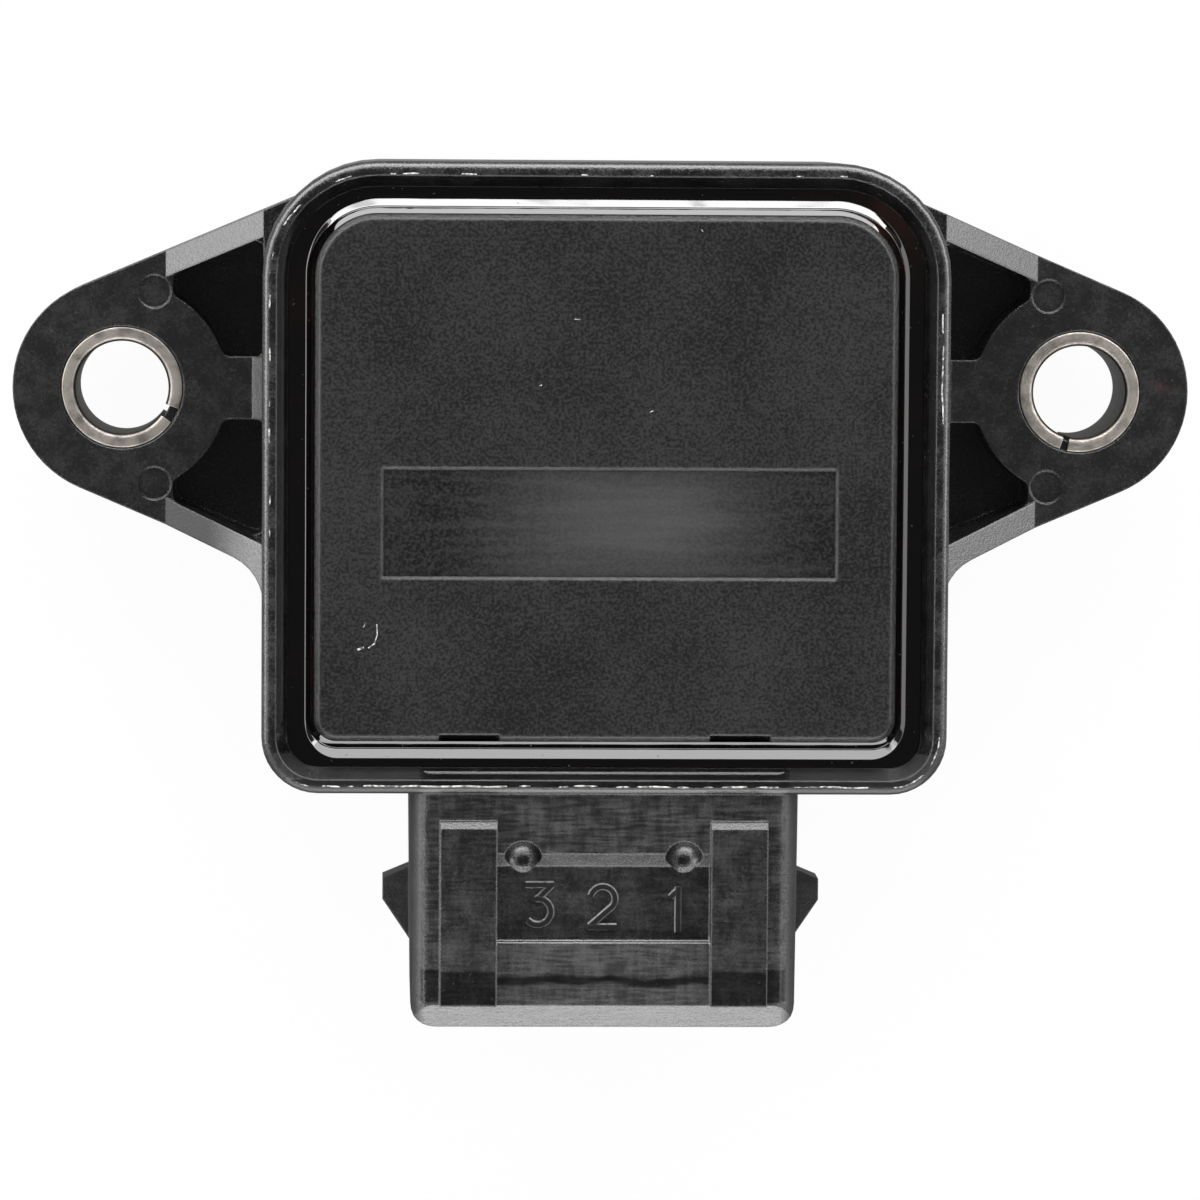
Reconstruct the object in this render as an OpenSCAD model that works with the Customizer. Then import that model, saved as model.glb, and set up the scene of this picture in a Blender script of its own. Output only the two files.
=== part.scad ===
// Throttle position sensor: a rotary potentiometer in a moulded housing with a three-pin connector.
// The origin is on the shaft axis, in the plane of the mounting face.
// +X runs to the right ear, +Y away from the connector and +Z towards the cover.

/* [Body] */
// Width of the body across its side walls
body_w = 38.7; // [37.5:0.1:41]
// Length of the body, from its upper edge to its connector side
body_len = 35.6; // [34.8:0.1:38]
// Distance from the shaft axis up to the body's upper edge
axis_to_top = 13.1; // [12.9:0.1:14]
// Height of the rim above the mounting plane
body_h = 14.5; // [14.3:0.1:17]
// Radius of the body's two upper corners
top_corner_r = 6.5; // [5:0.1:7]
// Radius of the body's two corners beside the connector
low_corner_r = 3.2; // [2.8:0.1:4]
// Thickness of the body's side walls
wall_t = 2.5; // [2.2:0.1:2.8]
// Thickness of the floor, from the mounting plane
floor_t = 3.0; // [2.6:0.1:3.4]
// How far the back is relieved between the raised lands
back_relief = 0.6; // [0.3:0.1:0.9]
// Radius of the round land around the spigot
land_r = 12.2; // [11.8:0.1:12.6]

/* [Rim] */
// Rounding of the rim's outer edge
rim_edge_r = 0.5; // [0.2:0.1:0.6]
// Width of the rim's flat top, with its rounded edge
rim_top_w = 0.8; // [0.7:0.1:0.9]
// Width of the slope inside the rim's flat top
rim_slope_w = 0.65; // [0.4:0.05:0.75]
// How far that slope falls
rim_slope_h = 0.9; // [0.5:0.1:1.1]
// Depth of the ledge that carries the cover, below the rim
ledge_drop = 3.2; // [3.0:0.1:3.4]

/* [Cover] */
// Distance from the body's outer edge in to the raised plate
cover_inset = 2.95; // [2.8:0.05:3.1]
// Radius of the plate's two upper corners
cover_top_r = 3.5; // [2.5:0.1:4]
// Radius of the plate's two lower corners
cover_low_r = 1.3; // [1.1:0.1:2]
// How far the plate's top lies below the rim
cover_drop = 0.2; // [0.1:0.05:0.5]
// Thickness of the flange that rests on the ledge
flange_t = 1.0; // [0.8:0.1:1.2]
// Thickness of the raised plate
cover_t = 1.7; // [1.4:0.1:1.9]
// Bevel around the plate's top edge
cover_bevel = 0.3; // [0.1:0.05:0.4]
// Width of the blank label recess
label_w = 25.6; // [20:0.1:28]
// Height of the blank label recess
label_len = 6.2; // [4:0.1:8]
// Place of the label recess across the cover
label_x = 0.2; // [-1:0.1:1]
// Place of the label recess below the shaft axis
label_y = -7.2; // [-9:0.1:-5]
// Depth of the label recess
label_depth = 0.15; // [0.1:0.05:0.4]
// Width of the two notches in the plate's lower edge
notch_w = 3.4; // [2:0.1:4]
// Depth of those notches, in from the plate's edge
notch_depth = 0.4; // [0.2:0.05:0.6]

/* [Potting] */
// Level of the potting below the rim
pot_drop = 1.2; // [1.0:0.1:1.4]
// Height that the potting climbs against the plate
climb_h = 0.75; // [0.3:0.05:0.85]
// Width of that climbing edge
climb_w = 0.6; // [0.3:0.05:0.7]

/* [Ears] */
// Distance between the two fixing holes
hole_pitch = 55; // [53.5:0.1:57]
// Radius of the ear's round end
ear_r = 6.25; // [5.9:0.05:6.8]
// Slope of the ear's sides, in degrees
ear_angle = 23; // [20:0.5:24]
// Height of the ear's pad, which is the bushing's length
ear_h = 6.5; // [6:0.1:8]
// Thickness of the web at the bottom of the ear's pockets
ear_web_t = 2.0; // [1.6:0.1:2.6]
// Thickness of the ribs along the ear's sides
side_rib_t = 1.4; // [1.1:0.05:1.6]
// Width of the rib in the middle of the ear
mid_rib_w = 3.6; // [2.5:0.1:4.5]
// Rounding of the corners of the pockets beside that rib
pocket_r = 0.6; // [0.3:0.05:0.9]
// Size of the gusset where that rib meets the body
gusset = 0.7; // [0.4:0.1:1.2]
// Radius of the boss that holds the bushing
boss_r = 6.05; // [5.6:0.05:6.2]
// Distance from the hole to where the side ribs start to climb
slope_start = 2.5; // [2.2:0.1:3]
// Height of the side ribs where they meet the body
shoulder_h = 10.6; // [9:0.1:11.2]
// Fillet between the ear's lower side and the body
ear_fillet_r = 2.8; // [1.5:0.1:3.2]
// Radius of the two ejector marks on each pad
ejector_r = 0.95; // [0.6:0.05:1]
// Distance from the hole to those marks, towards the body
ejector_x = 1.85; // [1.4:0.05:2.4]
// Distance from the ear's round end to the marks' middles
ejector_inset = 0.75; // [0.6:0.05:1.2]
// Depth of the ejector marks
ejector_depth = 0.12; // [0.05:0.01:0.3]

/* [Bushings] */
// Outer radius of the steel bushings
bushing_r = 3.5; // [3.3:0.05:3.7]
// Radius of their bore
bore_r = 2.65; // [2.5:0.05:2.8]
// Chamfer on their edges
bushing_chamfer = 0.24; // [0.1:0.02:0.3]
// How far the plastic in their seams stays below their ends
seam_inset = 0.3; // [0.1:0.05:0.6]
// Width of the left bushing's rolled seam
left_seam_w = 0.9; // [0.2:0.1:1.2]
// Width of the right bushing's rolled seam
right_seam_w = 0.45; // [0.2:0.05:1.2]
// Angle of the left bushing's seam
left_seam_angle = -28; // [-180:1:180]
// Angle of the right bushing's seam
right_seam_angle = -105; // [-180:1:180]

/* [Connector] */
// Width of the connector where it leaves the body
conn_w = 22.1; // [21.4:0.1:23.5]
// How much narrower it is at its mouth
conn_draft = 0.3; // [0:0.05:0.6]
// How far the connector reaches out of the body
conn_len = 13.4; // [13:0.1:15]
// Height of the connector's section
conn_h = 12.2; // [11.8:0.1:12.6]
// How far its upper face lies below the rim
conn_drop = 0.5; // [0.3:0.05:0.8]
// Rounding of its long edges and of its mouth's corners
conn_edge_r = 1.4; // [0.8:0.1:1.6]
// Thickness of its side walls
conn_side_t = 1.45; // [1.3:0.05:1.6]
// Rounding of the corners inside the mouth
mouth_corner_r = 0.8; // [0.4:0.1:1]
// Height inside the mouth
mouth_h = 9.2; // [9.1:0.1:9.4]
// Thickness of the wall behind the connector's cavity
mouth_floor_t = 1.2; // [0.8:0.1:2]
// Length of the chamfer around the mouth's outside
lead_in_len = 1.35; // [0.6:0.05:1.6]
// Depth of that chamfer
lead_in_drop = 0.9; // [0.4:0.05:1]
// Width of each guide rib
guide_w = 3.2; // [2.4:0.1:3.4]
// Distance from the connector's side to the middle of a guide rib
guide_inset = 3.4; // [3.2:0.05:3.8]
// Height of the guide ribs over the connector's face
guide_h = 0.9; // [0.5:0.05:1.1]
// Bevel on the guide ribs' upper ends
guide_bevel = 0.35; // [0.2:0.05:0.5]
// Gap between the body and the start of the guide ribs
guide_start = 1.55; // [1:0.05:2.5]
// Length of the guide ribs
guide_len = 10.45; // [8:0.05:10.8]
// How far the side lugs stick out
lug_out = 1.45; // [0.8:0.05:2]
// Height of the side lugs' section
lug_h = 2.6; // [2:0.1:4]
// Distance from the body to the side lugs
lug_start = 4.75; // [4:0.05:6]
// Length of the side lugs along the connector
lug_len = 4.15; // [3.5:0.05:5]
// Length of the slope on their body side
lug_lead = 0.65; // [0.3:0.05:1]
// Length of their flat outer face
lug_flat = 1.2; // [0.8:0.05:1.6]
// Distance from the body to the number recess
recess_start = 4.2; // [3.5:0.05:5]
// Length of the number recess
recess_len = 4.25; // [3.5:0.05:5]
// Length of the slope that leads down into the number recess
recess_ramp = 0.8; // [0.3:0.05:1.2]
// Depth of the number recess
recess_depth = 0.75; // [0.4:0.05:0.85]
// Radius of the two bowls beside the number recess
bowl_r = 1.1; // [0.8:0.05:1.2]
// Depth of the bowls, below the connector's face
bowl_depth = 1.05; // [0.8:0.05:1.1]
// Distance from a guide rib to the middle of the bowl beside it
bowl_inset = 1.5; // [1.2:0.1:2]

/* [Terminals] */
// Width of a terminal blade
blade_w = 2.8; // [2.4:0.1:3]
// Thickness of a terminal blade
blade_t = 0.8; // [0.6:0.05:0.8]
// Distance between neighbouring blades
blade_pitch = 5; // [4.8:0.1:5.2]
// Distance from the connector's mouth in to the blade's tip
blade_back = 5.1; // [4.8:0.1:6]
// Length of the bevels on the blade's tip
blade_bevel = 0.8; // [0.3:0.1:1.2]
// Length of blade that lies bare inside the housing
blade_inside = 2.6; // [2.2:0.1:3]
// How far the shelf under the blades reaches past the outer ones
shelf_side = 1; // [0.6:0.1:1.5]
// Thickness of the contact strips
strip_t = 0.2; // [0.15:0.01:0.25]
// Width of the contact strips
strip_w = 1.6; // [1:0.1:2]
// How far the contact strips reach past the blades
strip_reach = 1.2; // [0.8:0.1:1.4]

/* [Spigot and seals] */
// Radius of the spigot
spigot_r = 8; // [7.9:0.05:8.1]
// Length of the spigot below the mounting plane
spigot_len = 2.6; // [2.4:0.1:3.5]
// Radius of the seat for the lip seal
seal_seat_r = 7; // [6.8:0.05:7.1]
// Length of the lip seal
seal_len = 1.9; // [1.6:0.1:2]
// How far the lip seal sits inside the spigot's end
seal_inset = 0.2; // [0.1:0.05:0.4]
// Radius of the O-ring's centre line
o_ring_r = 10; // [9.9:0.05:10.2]
// Thickness of the O-ring
o_ring_t = 1.8; // [1.6:0.05:1.8]
// Room beside the O-ring in its groove, on each side
groove_side = 0.2; // [0.1:0.05:0.3]
// How far the O-ring stands out of its groove
o_ring_proud = 0.3; // [0.15:0.05:0.4]

/* [Rotor] */
// Radius of the rotor's journal
journal_r = 5.95; // [5.8:0.05:6.05]
// How far the journal's end lies inside the lip seal's end
journal_inset = 0.2; // [0.1:0.05:0.4]
// Radial clearance of the journal in its bore
journal_gap = 0.05; // [0.02:0.01:0.08]
// Radius of the bearing boss inside the housing
bearing_boss_r = 8; // [7.4:0.1:8.4]
// Height of the bearing boss above the floor
bearing_boss_h = 1.4; // [0.8:0.1:1.8]
// Room for the wave washer between boss and rotor
washer_room = 0.6; // [0.5:0.05:0.7]
// Thickness of the wave washer
washer_t = 0.2; // [0.15:0.01:0.25]
// Number of waves around the wave washer
washer_waves = 3; // [2:1:5]
// Thickness of the rotor's disc
disc_t = 1.6; // [1.2:0.1:1.8]
// Radius of the rotor's disc
disc_r = 7.2; // [7:0.1:7.4]
// How far the wing that carries the wiper reaches past the outer fingers
wing_over = 1.0; // [0.8:0.1:1.2]
// Travel between the two stops, in degrees
travel = 95; // [80:1:100]
// Radius of the stop post
stop_r = 0.95; // [0.7:0.05:1.05]
// Clearance at each stop, in degrees
stop_gap = 0.6; // [0.3:0.1:1.5]
// Radius of the D-shaped shaft socket
socket_r = 4.05; // [3.9:0.05:4.2]
// Distance from the axis to the socket's flat
socket_flat = 3.0; // [2.7:0.05:3.2]
// Thickness of the rotor above the socket
socket_roof_t = 1.1; // [0.9:0.05:1.4]
// Angle of the socket's flat at rest
flat_angle = 40; // [-180:1:180]
// Thickness of the leaf clip in the socket
clip_t = 0.3; // [0.2:0.05:0.4]
// Width of the leaf clip
clip_w = 3.6; // [2.8:0.1:4]
// Room behind the leaf clip
clip_back = 0.4; // [0.3:0.05:0.5]
// How far the leaf clip bows into the socket
clip_bow = 0.45; // [0.2:0.05:0.6]

/* [Wiper] */
// Distance from the board's upper edge to the outer pair of wiper fingers
track_edge = 1.1; // [1:0.05:1.3]
// Distance between the two pairs of wiper fingers
track_pitch = 2.2; // [2.1:0.05:2.3]
// Distance between the two fingers of a pair
finger_pitch = 0.75; // [0.6:0.05:0.8]
// Width of a wiper finger
finger_w = 0.45; // [0.3:0.05:0.5]
// Thickness of the wiper's sheet
wiper_t = 0.25; // [0.15:0.05:0.3]
// Length of the wiper's fixed strap
strap_len = 2.2; // [1.8:0.1:2.6]
// Radius of the stake that holds the wiper's strap
stake_r = 0.5; // [0.4:0.05:0.7]
// How far the stake stands above the strap
stake_head = 0.2; // [0.1:0.05:0.3]
// Length of the wiper's fingers
finger_len = 3.4; // [2.8:0.1:3.8]
// Height between the rotor's pad and the board
wiper_room = 2.0; // [1.8:0.05:2.3]
// Clearance between the finger tips and the tracks
tip_gap = 0.05; // [0.03:0.01:0.1]

/* [Board] */
// How far the board's upper face lies below the ledge
board_drop = 0.9; // [0.8:0.05:1.2]
// Thickness of the board
board_t = 1.0; // [0.8:0.05:1.1]
// Gap between the board's edge and the housing's walls
board_gap = 0.9; // [0.6:0.05:1.2]
// How far the board reaches out over the terminal blades
board_over = 1.4; // [1:0.1:1.8]
// Cut across the board's two upper corners
board_cut = 3.4; // [3:0.1:4.5]
// Thickness of the printed tracks
film_t = 0.06; // [0.04:0.01:0.1]
// Width of the resistor track
resistor_w = 1.5; // [1.4:0.05:1.55]
// Width of the collector track
collector_w = 1.5; // [1.4:0.05:1.55]
// Width of the printed leads
lead_w = 1.2; // [0.8:0.05:1.3]
// Angle that the tracks run on past the wiper's travel
track_over = 9; // [6:0.5:12]
// Radius of the posts that carry the board
post_r = 1.6; // [1.3:0.05:1.8]
// Radius of the pins that hold the board
pin_r = 0.8; // [0.6:0.05:0.9]
// How far the pins' staked heads reach past them, to the side and up
stake_over = 0.5; // [0.3:0.05:0.6]
// Distance from the side walls to the posts' middles
post_inset = 3.4; // [3:0.1:3.8]

/* [Fits] */
// Gap around pieces that are moulded in or pressed in
seat_gap = 0.02; // [0.01:0.005:0.03]
// Gap around the cover's flange in the housing
cover_gap = 0.1; // [0.05:0.01:0.15]
// Gap between the lip seal and the rotor's journal
lip_gap = 0.1; // [0.05:0.01:0.15]

/* [Hidden] */
$fn = 72;

// Steps around each corner of an outline
corner_steps = 10;
// How far joined shapes reach into each other
overlap = 0.2;
// Facets around small round features
fine = 40;

black_plastic = [0.14, 0.14, 0.145];
dark_resin = [0.07, 0.05, 0.05];
steel = [0.66, 0.64, 0.61];
tin = [0.78, 0.78, 0.76];
bronze = [0.72, 0.53, 0.32];
silver_film = [0.75, 0.75, 0.73];
carbon_film = [0.1, 0.1, 0.11];
board_green = [0.72, 0.7, 0.62];
rotor_plastic = [0.83, 0.8, 0.7];
seal_rubber = [0.12, 0.12, 0.12];
o_ring_rubber = [0.3, 0.16, 0.1];

// Body levels and outline, worked out from the sizes above
top_y = axis_to_top;
low_y = axis_to_top - body_len;
half_w = body_w / 2;
well_inset = rim_top_w + rim_slope_w;
ledge_z = body_h - ledge_drop;
pot_z = body_h - pot_drop;
cover_z = body_h - cover_drop;
flange_z = ledge_z + flange_t;

// Ear places, in a frame with its origin on the hole and +X towards the body
ear_wall_x = hole_pitch / 2 - half_w;
ear_in_x = ear_wall_x + top_corner_r * 0.75;
ear_pad_x = slope_start + 2 * overlap;

// Connector levels and widths
mouth_w = conn_w - 2 * conn_side_t;
guide_pitch = conn_w - 2 * guide_inset;
bowl_pitch = guide_pitch - guide_w - 2 * bowl_inset;
conn_top = body_h - conn_drop;
conn_mid = conn_top - conn_h / 2;
mouth_y = low_y - conn_len;
mouth_floor_y = low_y - mouth_floor_t;
inner_low_y = low_y + wall_t;
blade_in_y = inner_low_y + blade_inside;
blade_top = conn_mid + blade_t / 2;

// Levels inside the housing
boss_top = floor_t + bearing_boss_h;
disc_z = boss_top + washer_room;
disc_top = disc_z + disc_t;
board_z = ledge_z - board_drop - board_t;
pad_top = board_z - wiper_room;
film_z = board_z - film_t;
journal_end = -spigot_len + seal_inset + journal_inset;
seal_z = -spigot_len + seal_inset;
seat_top = seal_z + seal_len;

// Radii of the fingers and of the wing, set in from the board's upper edge
board_high_y = top_y - wall_t - board_gap;
finger_out_r = board_high_y - track_edge;
finger_in_r = finger_out_r - track_pitch;
wing_r = finger_out_r + wing_over;

// Angles: the travel is centred on +Y, and the stop post stands towards the connector
wiper_angle = 90 - travel / 2;
stop_angle = 270;
stop_radius = (disc_r + wing_r) / 2 + 0.1;
stop_half = asin(stop_r / stop_radius) + stop_gap;

// Wiper: the strap is ahead of the tips, and the tips trail on the line through the axis
tip_y = -finger_len + strap_len / 2;
comb_in = finger_in_r - finger_pitch / 2 - finger_w / 2;
comb_out = finger_out_r + finger_pitch / 2 + finger_w / 2;
stake_x = (finger_in_r + finger_out_r) / 2;

// Board posts: two near the upper corners and two beside the terminals
post_x = half_w - wall_t - post_inset;
post_high_y = top_y - wall_t - post_inset + overlap;
post_low_y = inner_low_y + post_inset + board_gap;
board_low_y = blade_in_y - board_over;
pad_y = blade_in_y + strip_reach - 0.5;

// Points along an arc about c, from angle a0 to angle a1, in n steps
function arc(c, r, a0, a1, n) =
  [for (i = [0:n]) let (a = a0 + (a1 - a0) * i / n) c + r * [cos(a), sin(a)]];

// A flat sector between two radii and two angles
module sector_2d(r0, r1, a0, a1) {
  steps = ceil((a1 - a0) / 4);
  polygon(concat(arc([0, 0], r1, a0, a1, steps), arc([0, 0], r0, a1, a0, steps)));
}

// A wedge that reaches past radius r, to cut a disc with
module wedge_2d(r, a0, a1) {
  steps = ceil((a1 - a0) / 30);
  polygon(concat([[0, 0]], arc([0, 0], r, a0, a1, steps)));
}

// The points of a rectangle on the Y axis, with one radius on its upper corners and one on its lower ones
function round_box(x, y0, y1, r_top, r_low) = concat(
  arc([x - r_top, y1 - r_top], r_top, 0, 90, corner_steps),
  arc([r_top - x, y1 - r_top], r_top, 90, 180, corner_steps),
  arc([r_low - x, y0 + r_low], r_low, 180, 270, corner_steps),
  arc([x - r_low, y0 + r_low], r_low, 270, 360, corner_steps));

// The body's outline, moved in by a distance
function body_ring(inset) =
  round_box(half_w - inset, low_y + inset, top_y - inset,
            max(top_corner_r - inset, 0.3), max(low_corner_r - inset, 0.3));

// The raised plate's outline, grown by a distance
function plate_ring(grow) =
  round_box(half_w - cover_inset + grow, low_y + cover_inset - grow, top_y - cover_inset + grow,
            cover_top_r + grow, cover_low_r + grow);

// A solid skinned over outlines of equal length, each paired with its height.
// It is capped at both ends, or joined from the last outline back to the first
module skin(layers, joined = false) {
  n = len(layers[0][0]);
  m = len(layers);
  points = [for (l = layers, p = l[0]) [p[0], p[1], l[1]]];
  sides = [for (j = [0:m - (joined ? 1 : 2)], i = [0:n - 1])
             let (a = j * n, b = ((j + 1) % m) * n, k = (i + 1) % n) each
               [[a + i, b + k, a + k], [a + i, b + i, b + k]]];
  caps = joined ? [] : [[for (i = [0:n - 1]) i], [for (i = [n - 1:-1:0]) (m - 1) * n + i]];
  polyhedron(points, concat(caps, sides));
}

// The body as an open cup: its wall, the rounded rim, the slope into the well, the ledge and the floor
module body_cup() {
  edge = [for (i = [0:4]) let (a = 90 * i / 4)
            [body_ring(rim_edge_r * (1 - cos(a))), body_h - rim_edge_r * (1 - sin(a))]];
  skin(concat([[body_ring(0), back_relief]], edge, [
    [body_ring(rim_top_w), body_h],
    [body_ring(well_inset), body_h - rim_slope_h],
    [body_ring(well_inset), ledge_z],
    [body_ring(wall_t), ledge_z],
    [body_ring(wall_t), floor_t]]));
}

// Height of the ear's side at x, for an outline that lies at a distance from the hole
function ear_side(distance, x) = (distance + x * sin(ear_angle)) / cos(ear_angle);

// The ear's plan: a round end, two straight sides and a fillet into the body's wall
module ear_plan() {
  fillet_x = ear_wall_x - ear_fillet_r;
  fillet_c = [fillet_x, -ear_side(ear_r + ear_fillet_r, fillet_x)];
  tangent = 90 + ear_angle;
  polygon(concat(
    arc([0, 0], ear_r, tangent, 360 - tangent, 24),
    arc(fillet_c, ear_fillet_r, 90 - ear_angle, 0, 6),
    [[ear_in_x, fillet_c[1]], [ear_in_x, ear_side(ear_r, ear_in_x)]]));
}

// What lies between the ear's side ribs, from a start in x to the body's wall
module ear_inside_2d(start) {
  distance = ear_r - side_rib_t;
  polygon([[start, -ear_side(distance, start)], [ear_wall_x, -ear_side(distance, ear_wall_x)],
           [ear_wall_x, ear_side(distance, ear_wall_x)], [start, ear_side(distance, start)]]);
}

// The ear's heights, seen from its side
module ear_side_2d() {
  polygon([[-ear_r - 1, back_relief], [ear_in_x + 1, back_relief], [ear_in_x + 1, shoulder_h],
           [ear_wall_x, shoulder_h], [slope_start, ear_h], [-ear_r - 1, ear_h]]);
}

module ear() {
  difference() {
    union() {
      difference() {
        intersection() {
          linear_extrude(shoulder_h + 1) ear_plan();
          rotate([90, 0, 0]) linear_extrude(4 * ear_r, center = true) ear_side_2d();
        }
        translate([0, 0, ear_h]) linear_extrude(shoulder_h) ear_inside_2d(slope_start);
        translate([0, 0, ear_web_t]) linear_extrude(shoulder_h)
          offset(r = pocket_r, $fn = 32) offset(delta = -pocket_r) difference() {
            ear_inside_2d(ear_pad_x);
            circle(boss_r);
            translate([0, -mid_rib_w / 2]) square([2 * ear_wall_x, mid_rib_w]);
          }
      }
      cylinder(r = boss_r, h = ear_h);
      translate([ear_wall_x, 0, ear_h]) rotate([90, 0, 0]) linear_extrude(mid_rib_w, center = true)
        polygon([[-gusset, -overlap], [overlap, -overlap], [overlap, gusset], [0, gusset], [-gusset, 0]]);
    }
    for (side = [-1, 1])
      translate([ejector_x, side * (ear_r - ejector_inset), ear_h - ejector_depth])
        cylinder(r = ejector_r, h = 1, $fn = fine);
  }
}

module at_left_ear() {
  translate([-hole_pitch / 2, 0, 0]) children();
}

module at_right_ear() {
  translate([hole_pitch / 2, 0, 0]) mirror([1, 0, 0]) children();
}

// The connector's plan, which narrows to its mouth and has round corners there
module conn_plan() {
  root = conn_w / 2;
  tip = (conn_w - conn_draft) / 2;
  r = conn_edge_r;
  polygon(concat(
    [[-root, low_y + wall_t / 2]], arc([r - tip, mouth_y + r], r, 180, 270, 6),
    arc([tip - r, mouth_y + r], r, 270, 360, 6), [[root, low_y + wall_t / 2]]));
}

// The connector's section, as a rectangle with round corners about the terminals
module conn_section(w, h, r) {
  polygon(round_box(w / 2, conn_mid - h / 2, conn_mid + h / 2, r, r));
}

// The connector seen from its side, with the chamfers at its mouth; X is the way out of the body
module conn_side() {
  low = conn_mid - conn_h / 2;
  polygon([[-wall_t / 2, low], [conn_len - lead_in_len, low], [conn_len, low + lead_in_drop],
           [conn_len, conn_top - lead_in_drop], [conn_len - lead_in_len, conn_top], [-wall_t / 2, conn_top]]);
}

module conn_block() {
  intersection() {
    linear_extrude(body_h) conn_plan();
    translate([0, low_y + wall_t / 2, 0]) rotate([90, 0, 0])
      linear_extrude(conn_len + wall_t) conn_section(conn_w, conn_h, conn_edge_r);
    translate([0, low_y, 0]) rotate([90, 0, -90])
      linear_extrude(2 * conn_w, center = true) conn_side();
  }
}

// The guide ribs, drawn from their side; X is the way out of the body
module guide_ribs() {
  top = guide_h + recess_depth;
  for (side = [-1, 1])
    translate([side * guide_pitch / 2, low_y - guide_start, conn_top - recess_depth]) rotate([90, 0, -90])
      linear_extrude(guide_w, center = true)
        polygon([[0, 0], [guide_len, 0], [guide_len, top], [guide_bevel, top], [0, top - guide_bevel]]);
}

module side_lugs() {
  side = conn_w / 2 - overlap / 2;
  for (half = [0, 1]) mirror([half, 0, 0])
    translate([0, low_y - lug_start, conn_mid - lug_h / 2]) linear_extrude(lug_h)
      polygon([[mouth_w / 2 + 2 * overlap, 0], [side, 0], [conn_w / 2 + lug_out, -lug_lead],
               [conn_w / 2 + lug_out, -lug_lead - lug_flat], [side, -lug_len],
               [mouth_w / 2 + 2 * overlap, -lug_len]]);
}

// The shallow recess between the guide ribs, with a ramp on the body's side
module number_recess() {
  w = guide_pitch - guide_w;
  translate([0, low_y - recess_start, conn_top - recess_depth]) rotate([90, 0, -90])
    linear_extrude(w, center = true)
      polygon([[0, 0], [recess_len, 0], [recess_len, guide_h + 1], [-recess_ramp, guide_h + 1],
               [-recess_ramp, recess_depth], [0, 0]]);
}

// Two bowls in the recess's ramp, cut by balls that are as wide as the bowls at the connector's face
module bowls() {
  ball_r = (pow(bowl_r, 2) + pow(bowl_depth, 2)) / (2 * bowl_depth);
  for (side = [-1, 1])
    translate([side * bowl_pitch / 2, low_y - recess_start + recess_ramp / 2, conn_top - bowl_depth + ball_r])
      sphere(ball_r, $fn = fine);
}

module terminal_slots() {
  for (i = [-1:1])
    translate([i * blade_pitch - blade_w / 2 - seat_gap, mouth_floor_y - 0.5,
               conn_mid - blade_t / 2 - seat_gap])
      cube([blade_w + 2 * seat_gap, wall_t + mouth_floor_t + 1, blade_t + 2 * seat_gap]);
}

// The shelf on which the terminals' inner ends lie
module terminal_shelf() {
  w = 2 * blade_pitch + blade_w + 2 * shelf_side;
  h = conn_mid - blade_t / 2 - floor_t;
  translate([-w / 2, inner_low_y - overlap, floor_t - overlap])
    cube([w, blade_inside + overlap, h + overlap]);
}

module at_posts() {
  for (side = [-1, 1]) {
    translate([side * post_x, post_high_y, 0]) children();
    translate([side * post_x, post_low_y, 0]) children();
  }
}

// A post with a pin through the board and the pin's staked head
module board_post() {
  translate([0, 0, floor_t - overlap]) cylinder(r = post_r, h = board_z - floor_t + overlap, $fn = fine);
  translate([0, 0, board_z]) cylinder(r = pin_r, h = board_t + overlap, $fn = fine);
  translate([0, 0, board_z + board_t + seat_gap])
    cylinder(r1 = pin_r + stake_over, r2 = pin_r, h = stake_over, $fn = fine);
}

module stop_post() {
  rotate([0, 0, stop_angle]) translate([stop_radius, 0, floor_t - overlap])
    cylinder(r = stop_r, h = disc_top - floor_t + overlap, $fn = fine);
}

// The hole that holds a bushing, with the plastic that fills the bushing's seam left standing
module bushing_hole(side, seam_w, seam_angle) {
  translate([side * hole_pitch / 2, 0, -1]) difference() {
    cylinder(r = bushing_r + seat_gap, h = ear_h + 2);
    rotate([0, 0, seam_angle]) translate([bore_r + bushing_chamfer, -seam_w / 2 + seat_gap, 1 + seam_inset])
      cube([bushing_r, seam_w - 2 * seat_gap, ear_h - 2 * seam_inset]);
  }
}

module housing() {
  color(black_plastic) difference() {
    union() {
      difference() {
        union() {
          at_left_ear() ear();
          at_right_ear() ear();
          conn_block();
        }
        translate([0, 0, -1]) linear_extrude(2 * body_h) polygon(body_ring(wall_t / 2));
      }
      body_cup();
      cylinder(r = land_r, h = back_relief + overlap);
      translate([0, 0, -spigot_len]) cylinder(r = spigot_r, h = spigot_len + back_relief);
      guide_ribs();
      side_lugs();
      translate([0, 0, floor_t - overlap]) cylinder(r = bearing_boss_r, h = bearing_boss_h + overlap);
      at_posts() board_post();
      stop_post();
      terminal_shelf();
    }
    translate([0, 0, -spigot_len - 1]) cylinder(r = journal_r + journal_gap, h = body_h);
    translate([0, 0, -spigot_len - 1]) cylinder(r = seal_seat_r, h = seat_top + spigot_len + 1);
    translate([0, 0, -1]) rotate_extrude() translate([o_ring_r - o_ring_t / 2 - groove_side, 0])
      square([o_ring_t + 2 * groove_side, 1 + o_ring_t - o_ring_proud]);
    bushing_hole(-1, left_seam_w, left_seam_angle);
    bushing_hole(1, right_seam_w, right_seam_angle);
    translate([0, mouth_floor_y, 0]) rotate([90, 0, 0])
      linear_extrude(conn_len) conn_section(mouth_w, mouth_h, mouth_corner_r);
    terminal_slots();
    number_recess();
    bowls();
  }
}

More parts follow.
